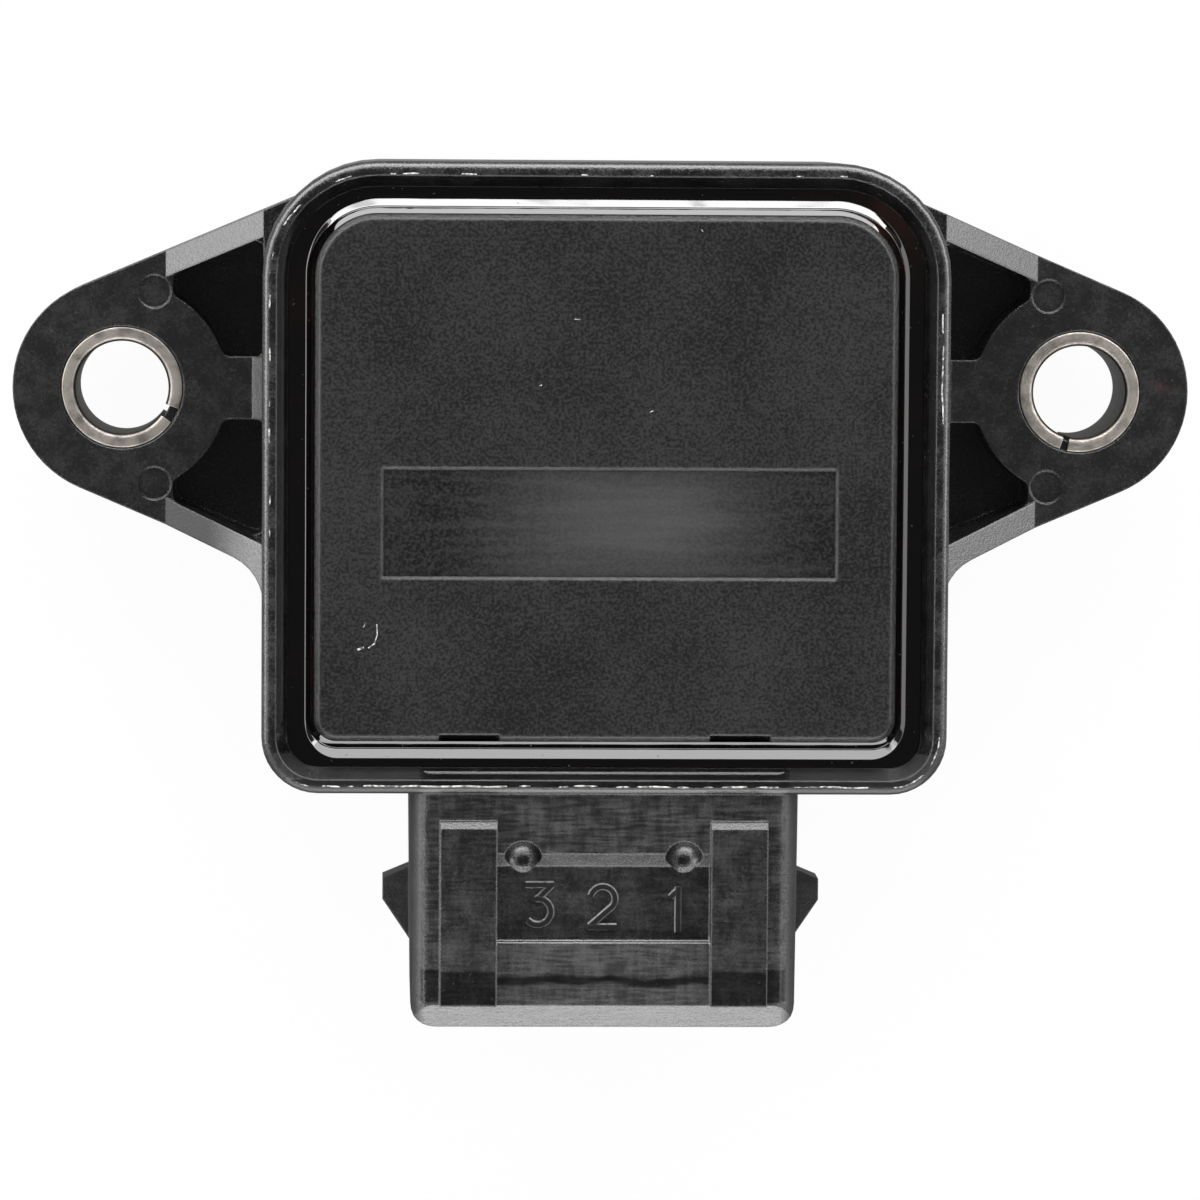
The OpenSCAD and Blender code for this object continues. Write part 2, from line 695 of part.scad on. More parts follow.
module cover_plate() {
  under = cover_z - cover_t;
  color(black_plastic) difference() {
    skin([[body_ring(wall_t + 1.2), under], [body_ring(wall_t + 1.2), ledge_z],
          [body_ring(well_inset + cover_gap), ledge_z], [body_ring(well_inset + cover_gap), flange_z],
          [plate_ring(0), flange_z], [plate_ring(0), cover_z - cover_bevel], [plate_ring(-cover_bevel), cover_z]]);
    translate([label_x - label_w / 2, label_y - label_len / 2, cover_z - label_depth])
      cube([label_w, label_len, 1]);
    for (side = [-1, 1])
      translate([side * guide_pitch / 2 - notch_w / 2, low_y + cover_inset - 1, flange_z + 0.5])
        cube([notch_w, 1 + notch_depth, 3]);
  }
}

// The potting fills the well, and its edge climbs against the plate by a power of the distance
module potting_bead() {
  climb = [for (i = [5:-1:0]) let (t = i / 5)
             [plate_ring(seat_gap + climb_w * t), pot_z + climb_h * pow(1 - t, 2.2)]];
  color(dark_resin)
    skin(concat([[body_ring(well_inset + seat_gap), flange_z], [body_ring(well_inset + seat_gap), pot_z]],
                climb, [[plate_ring(seat_gap), flange_z]]), joined = true);
}

// A rolled bushing: a chamfered sleeve with an open seam
module bushing(seam_w, seam_angle) {
  c = bushing_chamfer;
  color(steel) difference() {
    rotate_extrude() polygon([[bore_r, c], [bore_r + c, 0], [bushing_r - c, 0], [bushing_r, c],
                              [bushing_r, ear_h - c], [bushing_r - c, ear_h], [bore_r + c, ear_h],
                              [bore_r, ear_h - c]]);
    rotate([0, 0, seam_angle]) translate([0, -seam_w / 2, -1]) cube([2 * bushing_r, seam_w, ear_h + 2]);
  }
}

// A terminal blade, bevelled at its tip on all four sides
module terminal(i) {
  b = blade_bevel;
  w = blade_w / 2;
  tip = mouth_y + blade_back;
  color(tin) intersection() {
    translate([i * blade_pitch, 0, conn_mid - blade_t / 2]) linear_extrude(blade_t)
      polygon([[-w, blade_in_y], [w, blade_in_y], [w, tip + b], [w - b * 0.6, tip], [b * 0.6 - w, tip],
               [-w, tip + b]]);
    translate([i * blade_pitch, 0, conn_mid]) rotate([90, 0, 90]) linear_extrude(2 * blade_w, center = true)
      polygon([[blade_in_y + 1, -blade_t], [blade_in_y + 1, blade_t], [tip + b + blade_t, blade_t],
               [tip - 0.1, blade_t * 0.2], [tip - 0.1, -blade_t * 0.2], [tip + b + blade_t, -blade_t]]);
  }
}

// A contact strip: its foot is welded to the blade, and its arm springs up to the board
module contact_strip(i) {
  foot = blade_in_y - blade_inside + 0.4;
  rise_y = blade_in_y - 0.6;
  top = film_z - strip_t - seat_gap;
  line = [[foot, blade_top], [rise_y, blade_top], [blade_in_y, blade_top + 0.25],
          [pad_y - 0.3, top - 0.08], [pad_y, top], [pad_y + 0.3, top - 0.08]];
  upper = [for (p = line) p + [0, strip_t]];
  lower = [for (k = [len(line) - 1:-1:0]) line[k]];
  color(bronze) translate([i * blade_pitch, 0, 0]) rotate([90, 0, 90])
    linear_extrude(strip_w, center = true) polygon(concat(upper, lower));
}

module track_board() {
  x = half_w - wall_t - board_gap;
  color(board_green) translate([0, 0, board_z]) linear_extrude(board_t) difference() {
    polygon([[-x, board_low_y], [x, board_low_y], [x, board_high_y - board_cut], [x - board_cut, board_high_y],
             [board_cut - x, board_high_y], [-x, board_high_y - board_cut]]);
    for (side = [-1, 1]) {
      translate([side * post_x, post_high_y]) circle(pin_r + seat_gap, $fn = 32);
      translate([side * post_x, post_low_y]) circle(pin_r + seat_gap, $fn = 32);
    }
  }
}

// The tracks' radii follow the wiper's tips
resistor_r = norm([finger_out_r, tip_y]);
collector_r = norm([finger_in_r, tip_y]);
tip_angle = atan2(-tip_y, finger_out_r);
track_start = 90 - travel / 2 - tip_angle - track_over;
track_end = 90 + travel / 2 - tip_angle + track_over;

module resistor_2d() {
  sector_2d(resistor_r - resistor_w / 2, resistor_r + resistor_w / 2, track_start, track_end);
}

module resistor_track() {
  color(carbon_film) translate([0, 0, film_z]) linear_extrude(film_t) resistor_2d();
}

// The collector: an arc under the inner fingers and a lead straight down to the middle contact
module collector_track() {
  color(silver_film) translate([0, 0, film_z]) linear_extrude(film_t) {
    sector_2d(collector_r - collector_w / 2, collector_r + collector_w / 2, track_start, track_end);
    translate([-lead_w / 2, board_low_y + 0.4]) square([lead_w, collector_r - board_low_y - 0.4]);
  }
}

// The two leads, each from the face at the resistor's end down a lane to its outer contact
module end_leads() {
  w = lead_w / 2;
  half = resistor_w / 2;
  bend_y = pad_y + 5;
  color(silver_film) translate([0, 0, film_z]) linear_extrude(film_t)
    for (end = [[1, track_start], [-1, track_end]]) {
      side = end[0];
      way = [cos(end[1]), sin(end[1])];
      inner = (resistor_r - half) * way;
      outer = (resistor_r + half) * way;
      lane = side * (resistor_r + half + lead_w);
      pad = side * blade_pitch;
      polygon([inner, outer, [lane + side * w, outer[1]], [lane + side * w, bend_y],
               [pad + side * w, pad_y + 1.5], [pad + side * w, board_low_y + 0.4],
               [pad - side * w, board_low_y + 0.4], [pad - side * w, pad_y + 1.5],
               [lane - side * w, bend_y], [lane - side * w, inner[1]]]);
    }
}

module socket_2d() {
  difference() {
    circle(socket_r);
    translate([socket_flat, -socket_r]) square(2 * socket_r);
  }
}

// The rotor: a journal, a disc with a wing between the stops, and a pad for the wiper
module rotor() {
  roof = disc_top - socket_roof_t;
  color(rotor_plastic) {
    difference() {
      union() {
        translate([0, 0, journal_end]) cylinder(r = journal_r, h = disc_z - journal_end + overlap / 2);
        translate([0, 0, disc_z]) cylinder(r = disc_r, h = disc_t);
        translate([0, 0, disc_z]) linear_extrude(disc_t) difference() {
          circle(wing_r);
          wedge_2d(2 * wing_r, stop_angle - travel - stop_half, stop_angle + stop_half);
        }
        rotate([0, 0, wiper_angle])
          translate([comb_in, -strap_len / 2, disc_top - overlap / 2])
            cube([comb_out - comb_in, strap_len, pad_top - disc_top + overlap / 2]);
        rotate([0, 0, wiper_angle]) translate([stake_x, 0, disc_top])
          cylinder(r = stake_r, h = pad_top - disc_top + wiper_t + stake_head, $fn = fine);
      }
      rotate([0, 0, flat_angle]) {
        translate([0, 0, journal_end - 1]) linear_extrude(roof - journal_end + 1) socket_2d();
        translate([socket_flat - overlap, -clip_w / 2 - lip_gap, journal_end - 1])
          cube([overlap + clip_t + clip_back, clip_w + 2 * lip_gap, roof - journal_end + 1]);
      }
    }
  }
}

// The wiper: a strap on the rotor's pad and four fingers that rise to the tracks
module wiper_comb() {
  tip_z = film_z - tip_gap;
  edge = strap_len / 2;
  line = [[-edge + 0.4, pad_top], [-edge, pad_top], [-edge - 0.6, pad_top + 0.15],
          [tip_y + 0.45, tip_z - wiper_t - 0.1], [tip_y, tip_z - wiper_t], [tip_y - 0.4, tip_z - wiper_t - 0.25]];
  upper = [for (p = line) p + [0, wiper_t]];
  lower = [for (k = [len(line) - 1:-1:0]) line[k]];
  color(bronze) rotate([0, 0, wiper_angle]) {
    difference() {
      translate([comb_in, -edge, pad_top]) cube([comb_out - comb_in, strap_len, wiper_t]);
      translate([stake_x, 0, pad_top - 1]) cylinder(r = stake_r + seat_gap, h = 3, $fn = 32);
    }
    for (r = [finger_in_r, finger_out_r], side = [-1, 1])
      translate([r + side * finger_pitch / 2, 0, 0]) rotate([90, 0, 90])
        linear_extrude(finger_w, center = true) polygon(concat(upper, lower));
  }
}

// The leaf clip: a bowed strip behind the socket's flat
module shaft_clip() {
  z0 = journal_end + clip_back;
  z1 = disc_top - socket_roof_t - clip_back;
  back = socket_flat + clip_t + clip_back - seat_gap;
  inner = [for (i = [0:8]) let (t = i / 8) [back - clip_t - clip_bow * sin(180 * t), z0 + (z1 - z0) * t]];
  outer = [for (i = [8:-1:0]) let (t = i / 8) [back - clip_bow * sin(180 * t), z0 + (z1 - z0) * t]];
  color(steel) rotate([0, 0, flat_angle]) rotate([90, 0, 0])
    linear_extrude(clip_w, center = true) polygon(concat(inner, outer));
}

// The lip seal: a sleeve in the spigot, a web, and a lip that leans on the journal
module lip_seal() {
  outer = seal_seat_r - seat_gap;
  lip = journal_r + lip_gap;
  top = seat_top - seat_gap;
  color(seal_rubber) rotate_extrude()
    polygon([[outer, seal_z], [outer, top], [lip + 0.1, top], [lip + 0.1, top - 0.45], [outer - 0.35, top - 0.6],
             [outer - 0.35, seal_z + 0.6], [lip + 0.25, seal_z + 0.55], [lip, seal_z + 0.3], [lip + 0.15, seal_z]]);
}

module mounting_o_ring() {
  color(o_ring_rubber) translate([0, 0, o_ring_t / 2 - o_ring_proud - seat_gap])
    rotate_extrude() translate([o_ring_r, 0]) circle(o_ring_t / 2, $fn = 40);
}

// The wave washer: a flat ring bent into waves that fill its room but for a small gap
module wave_washer() {
  n = 48;
  r_in = journal_r + 0.3;
  r_out = min(disc_r, bearing_boss_r) - 0.1;
  mid = boss_top + washer_room / 2;
  amplitude = (washer_room - washer_t) / 2 - 0.03;
  wave = [for (i = [0:n - 1]) mid + amplitude * cos(360 * washer_waves * i / n)];
  points = [for (i = [0:n - 1], p = [[r_in, -1], [r_out, -1], [r_out, 1], [r_in, 1]])
              let (a = 360 * i / n) [p[0] * cos(a), p[0] * sin(a), wave[i] + p[1] * washer_t / 2]];
  faces = [for (i = [0:n - 1], k = [0:3])
             let (a = 4 * i, b = 4 * ((i + 1) % n), m = (k + 1) % 4) each
               [[a + k, b + k, b + m], [a + k, b + m, a + m]]];
  color(steel) polyhedron(points, faces);
}

housing();
cover_plate();
potting_bead();
translate([-hole_pitch / 2, 0, 0]) bushing(left_seam_w, left_seam_angle);  // left_bushing
translate([hole_pitch / 2, 0, 0]) bushing(right_seam_w, right_seam_angle);  // right_bushing
terminal(1);  // terminal_1
terminal(0);  // terminal_2
terminal(-1);  // terminal_3
contact_strip(1);  // contact_strip_1
contact_strip(0);  // contact_strip_2
contact_strip(-1);  // contact_strip_3
track_board();
resistor_track();
collector_track();
end_leads();
rotor();
wiper_comb();
shaft_clip();
lip_seal();
mounting_o_ring();
wave_washer();
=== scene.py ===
import math
import bpy
import bmesh
import numpy as np
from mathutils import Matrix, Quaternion, Vector


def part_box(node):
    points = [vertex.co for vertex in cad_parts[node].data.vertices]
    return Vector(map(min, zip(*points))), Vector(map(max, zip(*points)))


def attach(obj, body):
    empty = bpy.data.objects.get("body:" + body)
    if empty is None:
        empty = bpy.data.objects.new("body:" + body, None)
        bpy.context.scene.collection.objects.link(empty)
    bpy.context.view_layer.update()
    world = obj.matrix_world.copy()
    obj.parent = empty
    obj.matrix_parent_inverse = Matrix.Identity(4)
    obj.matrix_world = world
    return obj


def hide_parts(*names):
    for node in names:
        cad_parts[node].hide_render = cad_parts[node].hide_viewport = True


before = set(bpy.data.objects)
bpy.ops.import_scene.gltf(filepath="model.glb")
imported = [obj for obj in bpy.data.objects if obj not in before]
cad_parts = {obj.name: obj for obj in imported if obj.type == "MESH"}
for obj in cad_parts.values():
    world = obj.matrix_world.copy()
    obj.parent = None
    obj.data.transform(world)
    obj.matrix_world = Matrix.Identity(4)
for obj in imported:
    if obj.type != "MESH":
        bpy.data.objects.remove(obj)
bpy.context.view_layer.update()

mm = 0.001

# The body's outline from the potting's box, and the rim's steps inside it, in millimetres
pottingLow, pottingHigh = (np.array(c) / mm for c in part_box("potting_bead"))
rimTopWidth = 0.8
rimSlopeWidth = 0.65
fit = 0.02
plateInset = 2.95
plateCorner = 1.3
rimWidth = rimTopWidth + rimSlopeWidth + fit
bodyHalfWidth = pottingHigh[0] + rimWidth
bodyLow, bodyHigh = pottingLow[1] - rimWidth, pottingHigh[1] + rimWidth
bodyRadii = (6.5, 3.2)
rimTop = 14.5
print("frame loaded:", len(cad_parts), "nodes")


# A socket that takes part in sums: each operator adds one Math node
class Signal:
    def __init__(self, nodes, socket):
        self.nodes = nodes
        self.socket = socket

    def sum(self, operation, *values):
        return self.nodes.sum(operation, *values)

    def __add__(self, other):
        return self.sum("ADD", self, other)

    def __sub__(self, other):
        return self.sum("SUBTRACT", self, other)

    def __rsub__(self, other):
        return self.sum("SUBTRACT", other, self)

    def __mul__(self, other):
        return self.sum("MULTIPLY", self, other)

    def __gt__(self, other):
        return self.sum("GREATER_THAN", self, other)

    def __lt__(self, other):
        return self.sum("LESS_THAN", self, other)

    def abs(self):
        return self.sum("ABSOLUTE", self)

    __radd__ = __add__
    __rmul__ = __mul__


# A node tree whose nodes are all added through add()
class Nodes:
    def __init__(self, tree):
        self.tree = tree

    # Adds a node of any type: its settings first, then its sockets' values or links
    def add(self, kind, settings, values, output=0):
        node = self.tree.nodes.new(kind)
        for name, setting in settings.items():
            setattr(node, name, setting)
        self.fill(node, values)
        return Signal(self, node.outputs[output])

    # Sets a node's sockets: a signal is linked, and anything else is a constant
    def fill(self, node, values):
        for key, value in values.items():
            if isinstance(value, Signal):
                self.tree.links.new(value.socket, node.inputs[key])
            else:
                node.inputs[key].default_value = value

    # The value of a Math node
    def sum(self, operation, *values):
        return self.add("ShaderNodeMath", {"operation": operation}, dict(enumerate(values)))


# One material, whose patterns are in millimetres of the piece
class Paint(Nodes):
    def __init__(self, name):
        self.material = bpy.data.materials.new(name)
        self.material.use_nodes = True
        super().__init__(self.material.node_tree)
        self.shader = self.tree.nodes["Principled BSDF"]
        metres = self.add("ShaderNodeTexCoord", {}, {}, "Object")
        self.place = self.add("ShaderNodeVectorMath", {"operation": "SCALE"}, {0: metres, "Scale": 1 / mm})
        self.x, self.y, self.z = (self.add("ShaderNodeSeparateXYZ", {}, {0: self.place}, axis)
                                  for axis in "XYZ")

    # Noise from 0 to 1 with a grain size in millimetres, stretched along the axes by three factors
    def grain(self, size, detail=2.0, stretch=(1, 1, 1), seed=0.0):
        squeezed = self.add("ShaderNodeMapping", {}, {0: self.place, "Location": (seed, seed, seed),
                                                      "Scale": [1 / s for s in stretch]})
        values = {"Vector": squeezed, "Scale": 1 / size, "Detail": detail}
        return self.add("ShaderNodeTexNoise", {}, values, "Fac")

    # A soft step of a value: 0 at the low level and 1 at the high one, by 3t^2 - 2t^3 between them
    def step(self, value, low, high):
        return self.add("ShaderNodeMapRange", {"interpolation_type": "SMOOTHSTEP"},
                        {"Value": value, "From Min": low, "From Max": high})

    # One colour passing to a second by a mask: first + mask x (second - first)
    def blend(self, mask, first, second):
        return self.add("ShaderNodeMix", {"data_type": "RGBA"}, {0: mask, 6: first, 7: second}, 2)

    # 1 along the edges: there the rounded normal turns away from the face's own one
    def edges(self, radius):
        rounded = self.add("ShaderNodeBevel", {"samples": 6}, {"Radius": radius * mm}, "Normal")
        flat = self.add("ShaderNodeNewGeometry", {}, {}, "True Normal")
        values = {0: rounded, 1: flat}
        facing = self.add("ShaderNodeVectorMath", {"operation": "DOT_PRODUCT"}, values, "Value")
        return self.step(1 - facing, 0.02, 0.2), rounded

    # 1 inside a rectangle in plan: the product of a soft step across and one along
    def patch(self, cx, cy, width, length, soft):
        across = (self.x - cx).abs()
        along = (self.y - cy).abs()
        return (self.step(across, width / 2 + soft, width / 2 - soft)
                * self.step(along, length / 2 + soft, length / 2 - soft))

    # How far a point lies outside the body's outline in plan: the length of what sticks out past the
    # corners' centres, less the corner's radius, which is larger in the upper half
    def outside(self):
        radius = bodyRadii[1] + (self.y > 0) * (bodyRadii[0] - bodyRadii[1])
        across = self.sum("MAXIMUM", self.x.abs() - bodyHalfWidth + radius, 0.0)
        along = (self.y - (bodyLow + bodyHigh) / 2).abs() - (bodyHigh - bodyLow) / 2 + radius
        along = self.sum("MAXIMUM", along, 0.0)
        return self.sum("SQRT", across * across + along * along) - radius

    # The upward part of the face's own normal
    def upward(self):
        normal = self.add("ShaderNodeTexCoord", {}, {}, "Normal")
        return self.add("ShaderNodeSeparateXYZ", {}, {0: normal}, "Z")

    # Links the colour and roughness, and a bump as high as the given height times its depth in millimetres
    def finish(self, colour, roughness, height, depth, normal=None, **fixed):
        links = {"Base Color": colour, "Roughness": roughness}
        bump = {"Height": height, "Distance": depth * mm, "Strength": 1.0}
        if normal is not None:
            bump["Normal"] = normal
        links["Normal"] = self.add("ShaderNodeBump", {}, bump, "Normal")
        self.fill(self.shader, {**links, **fixed})
        return self.material


# A grey as a colour, with more red and less blue by a share
def grey(shade, warm=0.0):
    return (shade * (1 + warm), shade, shade * (1 - warm), 1)


plasticGloss = {"Specular IOR Level": 0.9, "Coat Weight": 0.6, "Coat Roughness": 0.25, "Coat IOR": 1.7}
housingLook = {"dark": 0.0025, "scuffed": 0.032, "edge": 0.07, "roughness": 0.26, "rounding": 0.16,
               "plugStart": -32.5, "plugEnd": -34.4, "plateauZ": 13.9, "recessEnd": -30.87,
               "connStart": -20.2, "midHalf": 6.05, "ribZ": 14.6, "sideStart": 10.0, "sideFull": 10.6,
               "rimZ": 13.0, "aboveEars": 12.0, "connectorEdgeHighlight": 0.2, "mouth": 0.12, "recessEdgeHighlight": 0.6,
               "drawn": (0.012, 0.08),
               "redMark": {"x": 32.5, "y": 0.3, "width": 1.2, "length": 0.1, "soft": 0.5,
                           "colour": (0.09, 0.012, 0.014, 1)}}


# The rim's smooth dark places, by steps of the distance from the body's outline: its inner slope and lower
# side. The second mask is the largest of these and of the lower and left outer edges, where the pale worn
# edge colour is left off as painted shade
def rimMasks(paint, look):
    outside = paint.outside()
    onRim = paint.z > look["rimZ"]
    inside = paint.step(outside, 0.02 - rimTopWidth, -0.03 - rimTopWidth)
    lowSide = paint.step(paint.y, bodyLow + 0.95, bodyLow + 0.8) * paint.step(outside, -0.12, -0.2)
    rim = paint.sum("MAXIMUM", inside, lowSide) * onRim * 0.85
    # Painted shade: the lower and left outer edges keep no pale edge colour, so that they stay dark
    lowEdge = paint.step(paint.y, bodyLow + 0.9, bodyLow + 0.7) * (paint.y > bodyLow - 0.4)
    leftEdge = (paint.x < 0.4 - bodyHalfWidth) * onRim * 0.7
    return rim, paint.sum("MAXIMUM", paint.sum("MAXIMUM", rim, lowEdge), leftEdge)


# Where the plug has slid: a band on the guide ribs and beside them, as a product of steps in x, y and z, and
# between the ribs a step of the distance from a line that noise makes wavy
def slidMask(paint, look, across):
    band = (paint.step(across, look["midHalf"] - 0.1, look["midHalf"] + 0.1)
            * paint.step(paint.y, look["plugStart"] + 0.1, look["plugStart"] - 0.1)
            * paint.step(paint.y, look["plugEnd"] - 0.1, look["plugEnd"] + 0.1)
            * paint.step(paint.z, look["plateauZ"] - 0.3, look["plateauZ"]) * 0.8)
    wave = paint.grain(2.0, 2, seed=21.0)
    line = (paint.y - look["plugStart"] + 0.15 + wave * 0.9).abs()
    wavy = paint.step(line, 0.42, 0.1) * paint.step(across, look["midHalf"] + 0.1, look["midHalf"] - 0.1)
    return paint.sum("MAXIMUM", band, wavy * (paint.z > look["plateauZ"] - 0.6) * 0.9)


# How strongly the connector's upward faces are streaked: less on the guide ribs and in the number recess
def streakMask(paint, look, across, beyond):
    recess = (beyond * paint.step(across, look["midHalf"], look["midHalf"] - 0.1)
              * (paint.upward() > 0.9) * (paint.z > look["aboveEars"])
              * paint.step(paint.z, look["plateauZ"] - 0.1, look["plateauZ"] - 0.25))
    onRib = paint.z > look["ribZ"]
    return beyond * paint.step(paint.upward(), 0.5, 0.9) * (1 - onRib * 0.6) * (1 - recess * 0.6)


# The dull part of the left ear's lower slope, which fades in on the way from the body to the pad
def slopeMask(paint, look, across, onEar, cloud):
    tilted = paint.step(paint.upward(), 0.98, 0.94) * paint.step(paint.upward(), 0.4, 0.6)
    reach = across + (cloud - 0.5) * 1.5
    lowerLeft = onEar * (paint.z < look["aboveEars"]) * (paint.y < 0.0) * (paint.x < 0.0)
    return lowerLeft * tilted * paint.step(reach, 20.0, 22.6)


# The moulded plastic: mottled and finely specked, with scuffed edges and pale streaks on the connector.
# Smooth and dark are the rim's inner slope and lower side, and a band where the plug slides
# Painted highlights lie along the connector's edges and the number recess's end, and painted shade on the
# connector's side strips and on the lower and left outer edges
def paintHousing():
    look = housingLook
    paint = Paint("housing plastic")
    edge, rounded = paint.edges(look["rounding"])
    fine = paint.grain(0.14, 3)
    cloud = paint.grain(1.3, 5, seed=3.0)
    streak = paint.grain(0.16, 3, stretch=(9, 1, 1), seed=7.0)
    slant = paint.grain(0.3, 3, stretch=(1, 5, 1), seed=17.0)
    specks = paint.step(paint.grain(0.22, 2, seed=11.0), 0.66, 0.74)
    across = paint.x.abs()
    rim, smoothRimAndShadedEdges = rimMasks(paint, look)
    worn = edge * paint.step(paint.grain(0.7, 4, seed=5.0), 0.42, 0.6) * (1 - smoothRimAndShadedEdges)
    smooth = paint.sum("MAXIMUM", rim, slidMask(paint, look, across))
    beyond = paint.step(paint.y, look["connStart"] + 0.1, look["connStart"] - 0.1)
    connector = streakMask(paint, look, across, beyond) * (1 - smooth)
    shadedSideStrip = beyond * paint.step(across, look["sideStart"], look["sideFull"])
    onEar = across > bodyHalfWidth + 0.1
    shaded = slopeMask(paint, look, across, onEar, cloud)

    level = paint.step(paint.upward().abs(), 0.2, 0.8)
    scuff = paint.step(fine * 0.45 + cloud * 0.55, 0.4, 0.66) * (level * 0.6 + 0.4)
    scuff = scuff * (1 - onEar * 0.5) + onEar * 0.2
    colour = paint.blend(scuff * (1 - smooth * 0.9), grey(look["dark"]), grey(look["scuffed"]))
    drawn = paint.step(streak * 0.5 + slant * 0.3 + cloud * 0.2, 0.38, 0.66)
    drawnShade = paint.blend(drawn, *(grey(shade) for shade in look["drawn"]))
    colour = paint.blend(connector * 0.8, colour, drawnShade)
    mouth = paint.step(paint.y, look["recessEnd"], look["recessEnd"] - 0.2)
    colour = paint.blend(connector * mouth * (drawn * 0.2 + 0.15), colour, grey(look["mouth"]))
    colour = paint.blend(specks * 0.4, colour, grey(look["edge"]))
    mark = look["redMark"]
    reddened = paint.patch(mark["x"], mark["y"], mark["width"], mark["length"], mark["soft"])
    colour = paint.blend(reddened * paint.step(cloud, 0.4, 0.6) * 0.5, colour, mark["colour"])
    colour = paint.blend(worn * 0.8, colour, grey(look["edge"], 0.02))
    # Painted highlight: the connector's edges are lightened to a pale grey, broken by fine noise
    colour = paint.blend(edge * beyond * (fine + 0.1), colour, grey(look["connectorEdgeHighlight"]))
    # Painted shade: the connector's side strips are darkened to the plain dark shade
    colour = paint.blend(shadedSideStrip * 0.7, colour, grey(look["dark"]))
    # Painted highlight: a pale grey line along the edge at the number recess's end
    recessEdgeHighlight = paint.step((paint.y - look["recessEnd"]).abs(), 0.3, 0.2) * (across < look["midHalf"])
    colour = paint.blend(edge * recessEdgeHighlight * 0.8, colour, grey(look["recessEdgeHighlight"]))

    roughness = look["roughness"] + (fine - 0.5) * 0.16 + (cloud - 0.5) * 0.1 - worn * 0.08
    roughness = roughness - smooth * 0.14 + shaded * 0.25 + shadedSideStrip * 0.2
    height = (fine * 0.5 + streak * connector * 0.2 + cloud * 0.2) * (1 - smooth * 0.7)
    dull = paint.sum("MAXIMUM", smooth, paint.sum("MAXIMUM", shaded, shadedSideStrip))
    gloss = {**plasticGloss, "Coat Weight": (1 - dull) * plasticGloss["Coat Weight"]}
    return paint.finish(colour, roughness, height, 0.05, rounded, **gloss)


coverLook = {"dark": 0.0005, "light": 0.02, "smeared": 0.1, "chippedAndHighlit": 0.06, "roughness": 0.3,
             "rounding": 0.25, "label": (0.2, -7.2), "labelSize": (25.6, 6.2), "borderOut": 0.1,
             "borderIn": 0.3, "pale": {"cx": 1.4, "cy": -7.2, "width": 12, "length": 5.5, "soft": 5.0}}


# The cover's plastic: an even fine speckle with faint clouds, wiped streaks across the bare label recess, a
# painted shade band along the recess's edge, and pale edges that are partly chipping and partly painted
# highlight
def paintCover():
    look = coverLook
    paint = Paint("cover plastic")
    edge, rounded = paint.edges(look["rounding"])
    fine = paint.grain(0.17, 2)
    mottle = paint.grain(0.45, 3, seed=13.0)
    broad = paint.grain(7.0, 2, seed=2.0)
    wiped = paint.grain(0.5, 3, stretch=(14, 1, 1), seed=9.0)
    width, length = look["labelSize"]
    label = paint.patch(*look["label"], width, length, 0.12)
    pale = paint.patch(**look["pale"])
    chippedAndHighlit = paint.step(paint.grain(0.5, 3, seed=23.0), 0.4, 0.6)
    outer, inner = (paint.patch(*look["label"], width + more, length + more, 0.04)
                    for more in (look["borderOut"], -look["borderIn"]))
    labelEdgeShade = outer - inner
    speckle = paint.step(fine * 0.72 + mottle * 0.14 + broad * 0.14, 0.4, 0.6)
    colour = paint.blend(speckle, grey(look["dark"]), grey(look["light"]))
    smear = label * (paint.step(wiped, 0.4, 0.7) * 0.1 + pale * 0.55)
    colour = paint.blend(smear, colour, grey(look["smeared"]))
    # Painted shade: a dark band along the label recess's edge
    colour = paint.blend(labelEdgeShade * 0.7, colour, grey(look["dark"]))
    # Pale along the edges, broken by noise: chipping and painted highlight
    colour = paint.blend(edge * chippedAndHighlit * 0.6, colour, grey(look["chippedAndHighlit"]))
    roughness = look["roughness"] + broad * 0.1 + mottle * 0.06 - label * 0.05
    height = (fine + mottle * 0.6) * (1 - label * 0.6) + wiped * label * 0.8
    return paint.finish(colour, roughness, height, 0.02, rounded, **{**plasticGloss, "Coat Weight": 0.2})


resinLook = {"black": (0.0025, 0.0018, 0.0018, 1), "brown": (0.02, 0.008, 0.006, 1),
             "brownX": (10.0, 15.5), "brownY": (5.0, 11.0), "dust": 0.12}


# Cast resin: almost black with a red-brown corner, smooth as glass, with a few waves and dust specks
def paintPotting():
    look = resinLook
    paint = Paint("potting resin")
    cloud = paint.grain(3.5, 3)
    wave = paint.grain(2.5, 1, seed=4.0)
    dust = paint.step(paint.grain(0.28, 1, seed=6.0), 0.74, 0.78)
    corner = paint.step(paint.x, *look["brownX"]) * paint.step(paint.y, *look["brownY"])
    brown = corner * paint.step(cloud, 0.3, 0.6) + paint.step(cloud, 0.5, 0.8) * 0.15
    colour = paint.blend(brown, look["black"], look["brown"])
    colour = paint.blend(dust * 0.5, colour, grey(look["dust"]))
    return paint.finish(colour, 0.05 + dust * 0.4, wave, 0.03,
                        **{"Coat Weight": 1.0, "Coat Roughness": 0.02, "Coat IOR": 1.6})


# Plastic torn or rubbed pale, as on mould flash and in scratches
def paintScuffed():
    paint = Paint("scuffed plastic")
    fine = paint.grain(0.2, 3)
    colour = paint.blend(paint.step(fine, 0.35, 0.65), grey(0.08), grey(0.7, 0.03))
    return paint.finish(colour, 0.45 + fine * 0.2, fine, 0.03)


# The pin numbers: dark on top, with sides painted pale as a painted highlight
def paintNumbers():
    paint = Paint("pin number plastic")
    fine = paint.grain(0.3, 3)
    # Painted highlight: the strokes' sloped sides are pale, broken by noise
    side = paint.step(paint.upward().abs(), 0.97, 0.7) * paint.step(fine, 0.3, 0.55)
    colour = paint.blend(side, grey(0.005), grey(0.22))
    return paint.finish(colour, 0.3 + fine * 0.1, fine, 0.02, **plasticGloss)
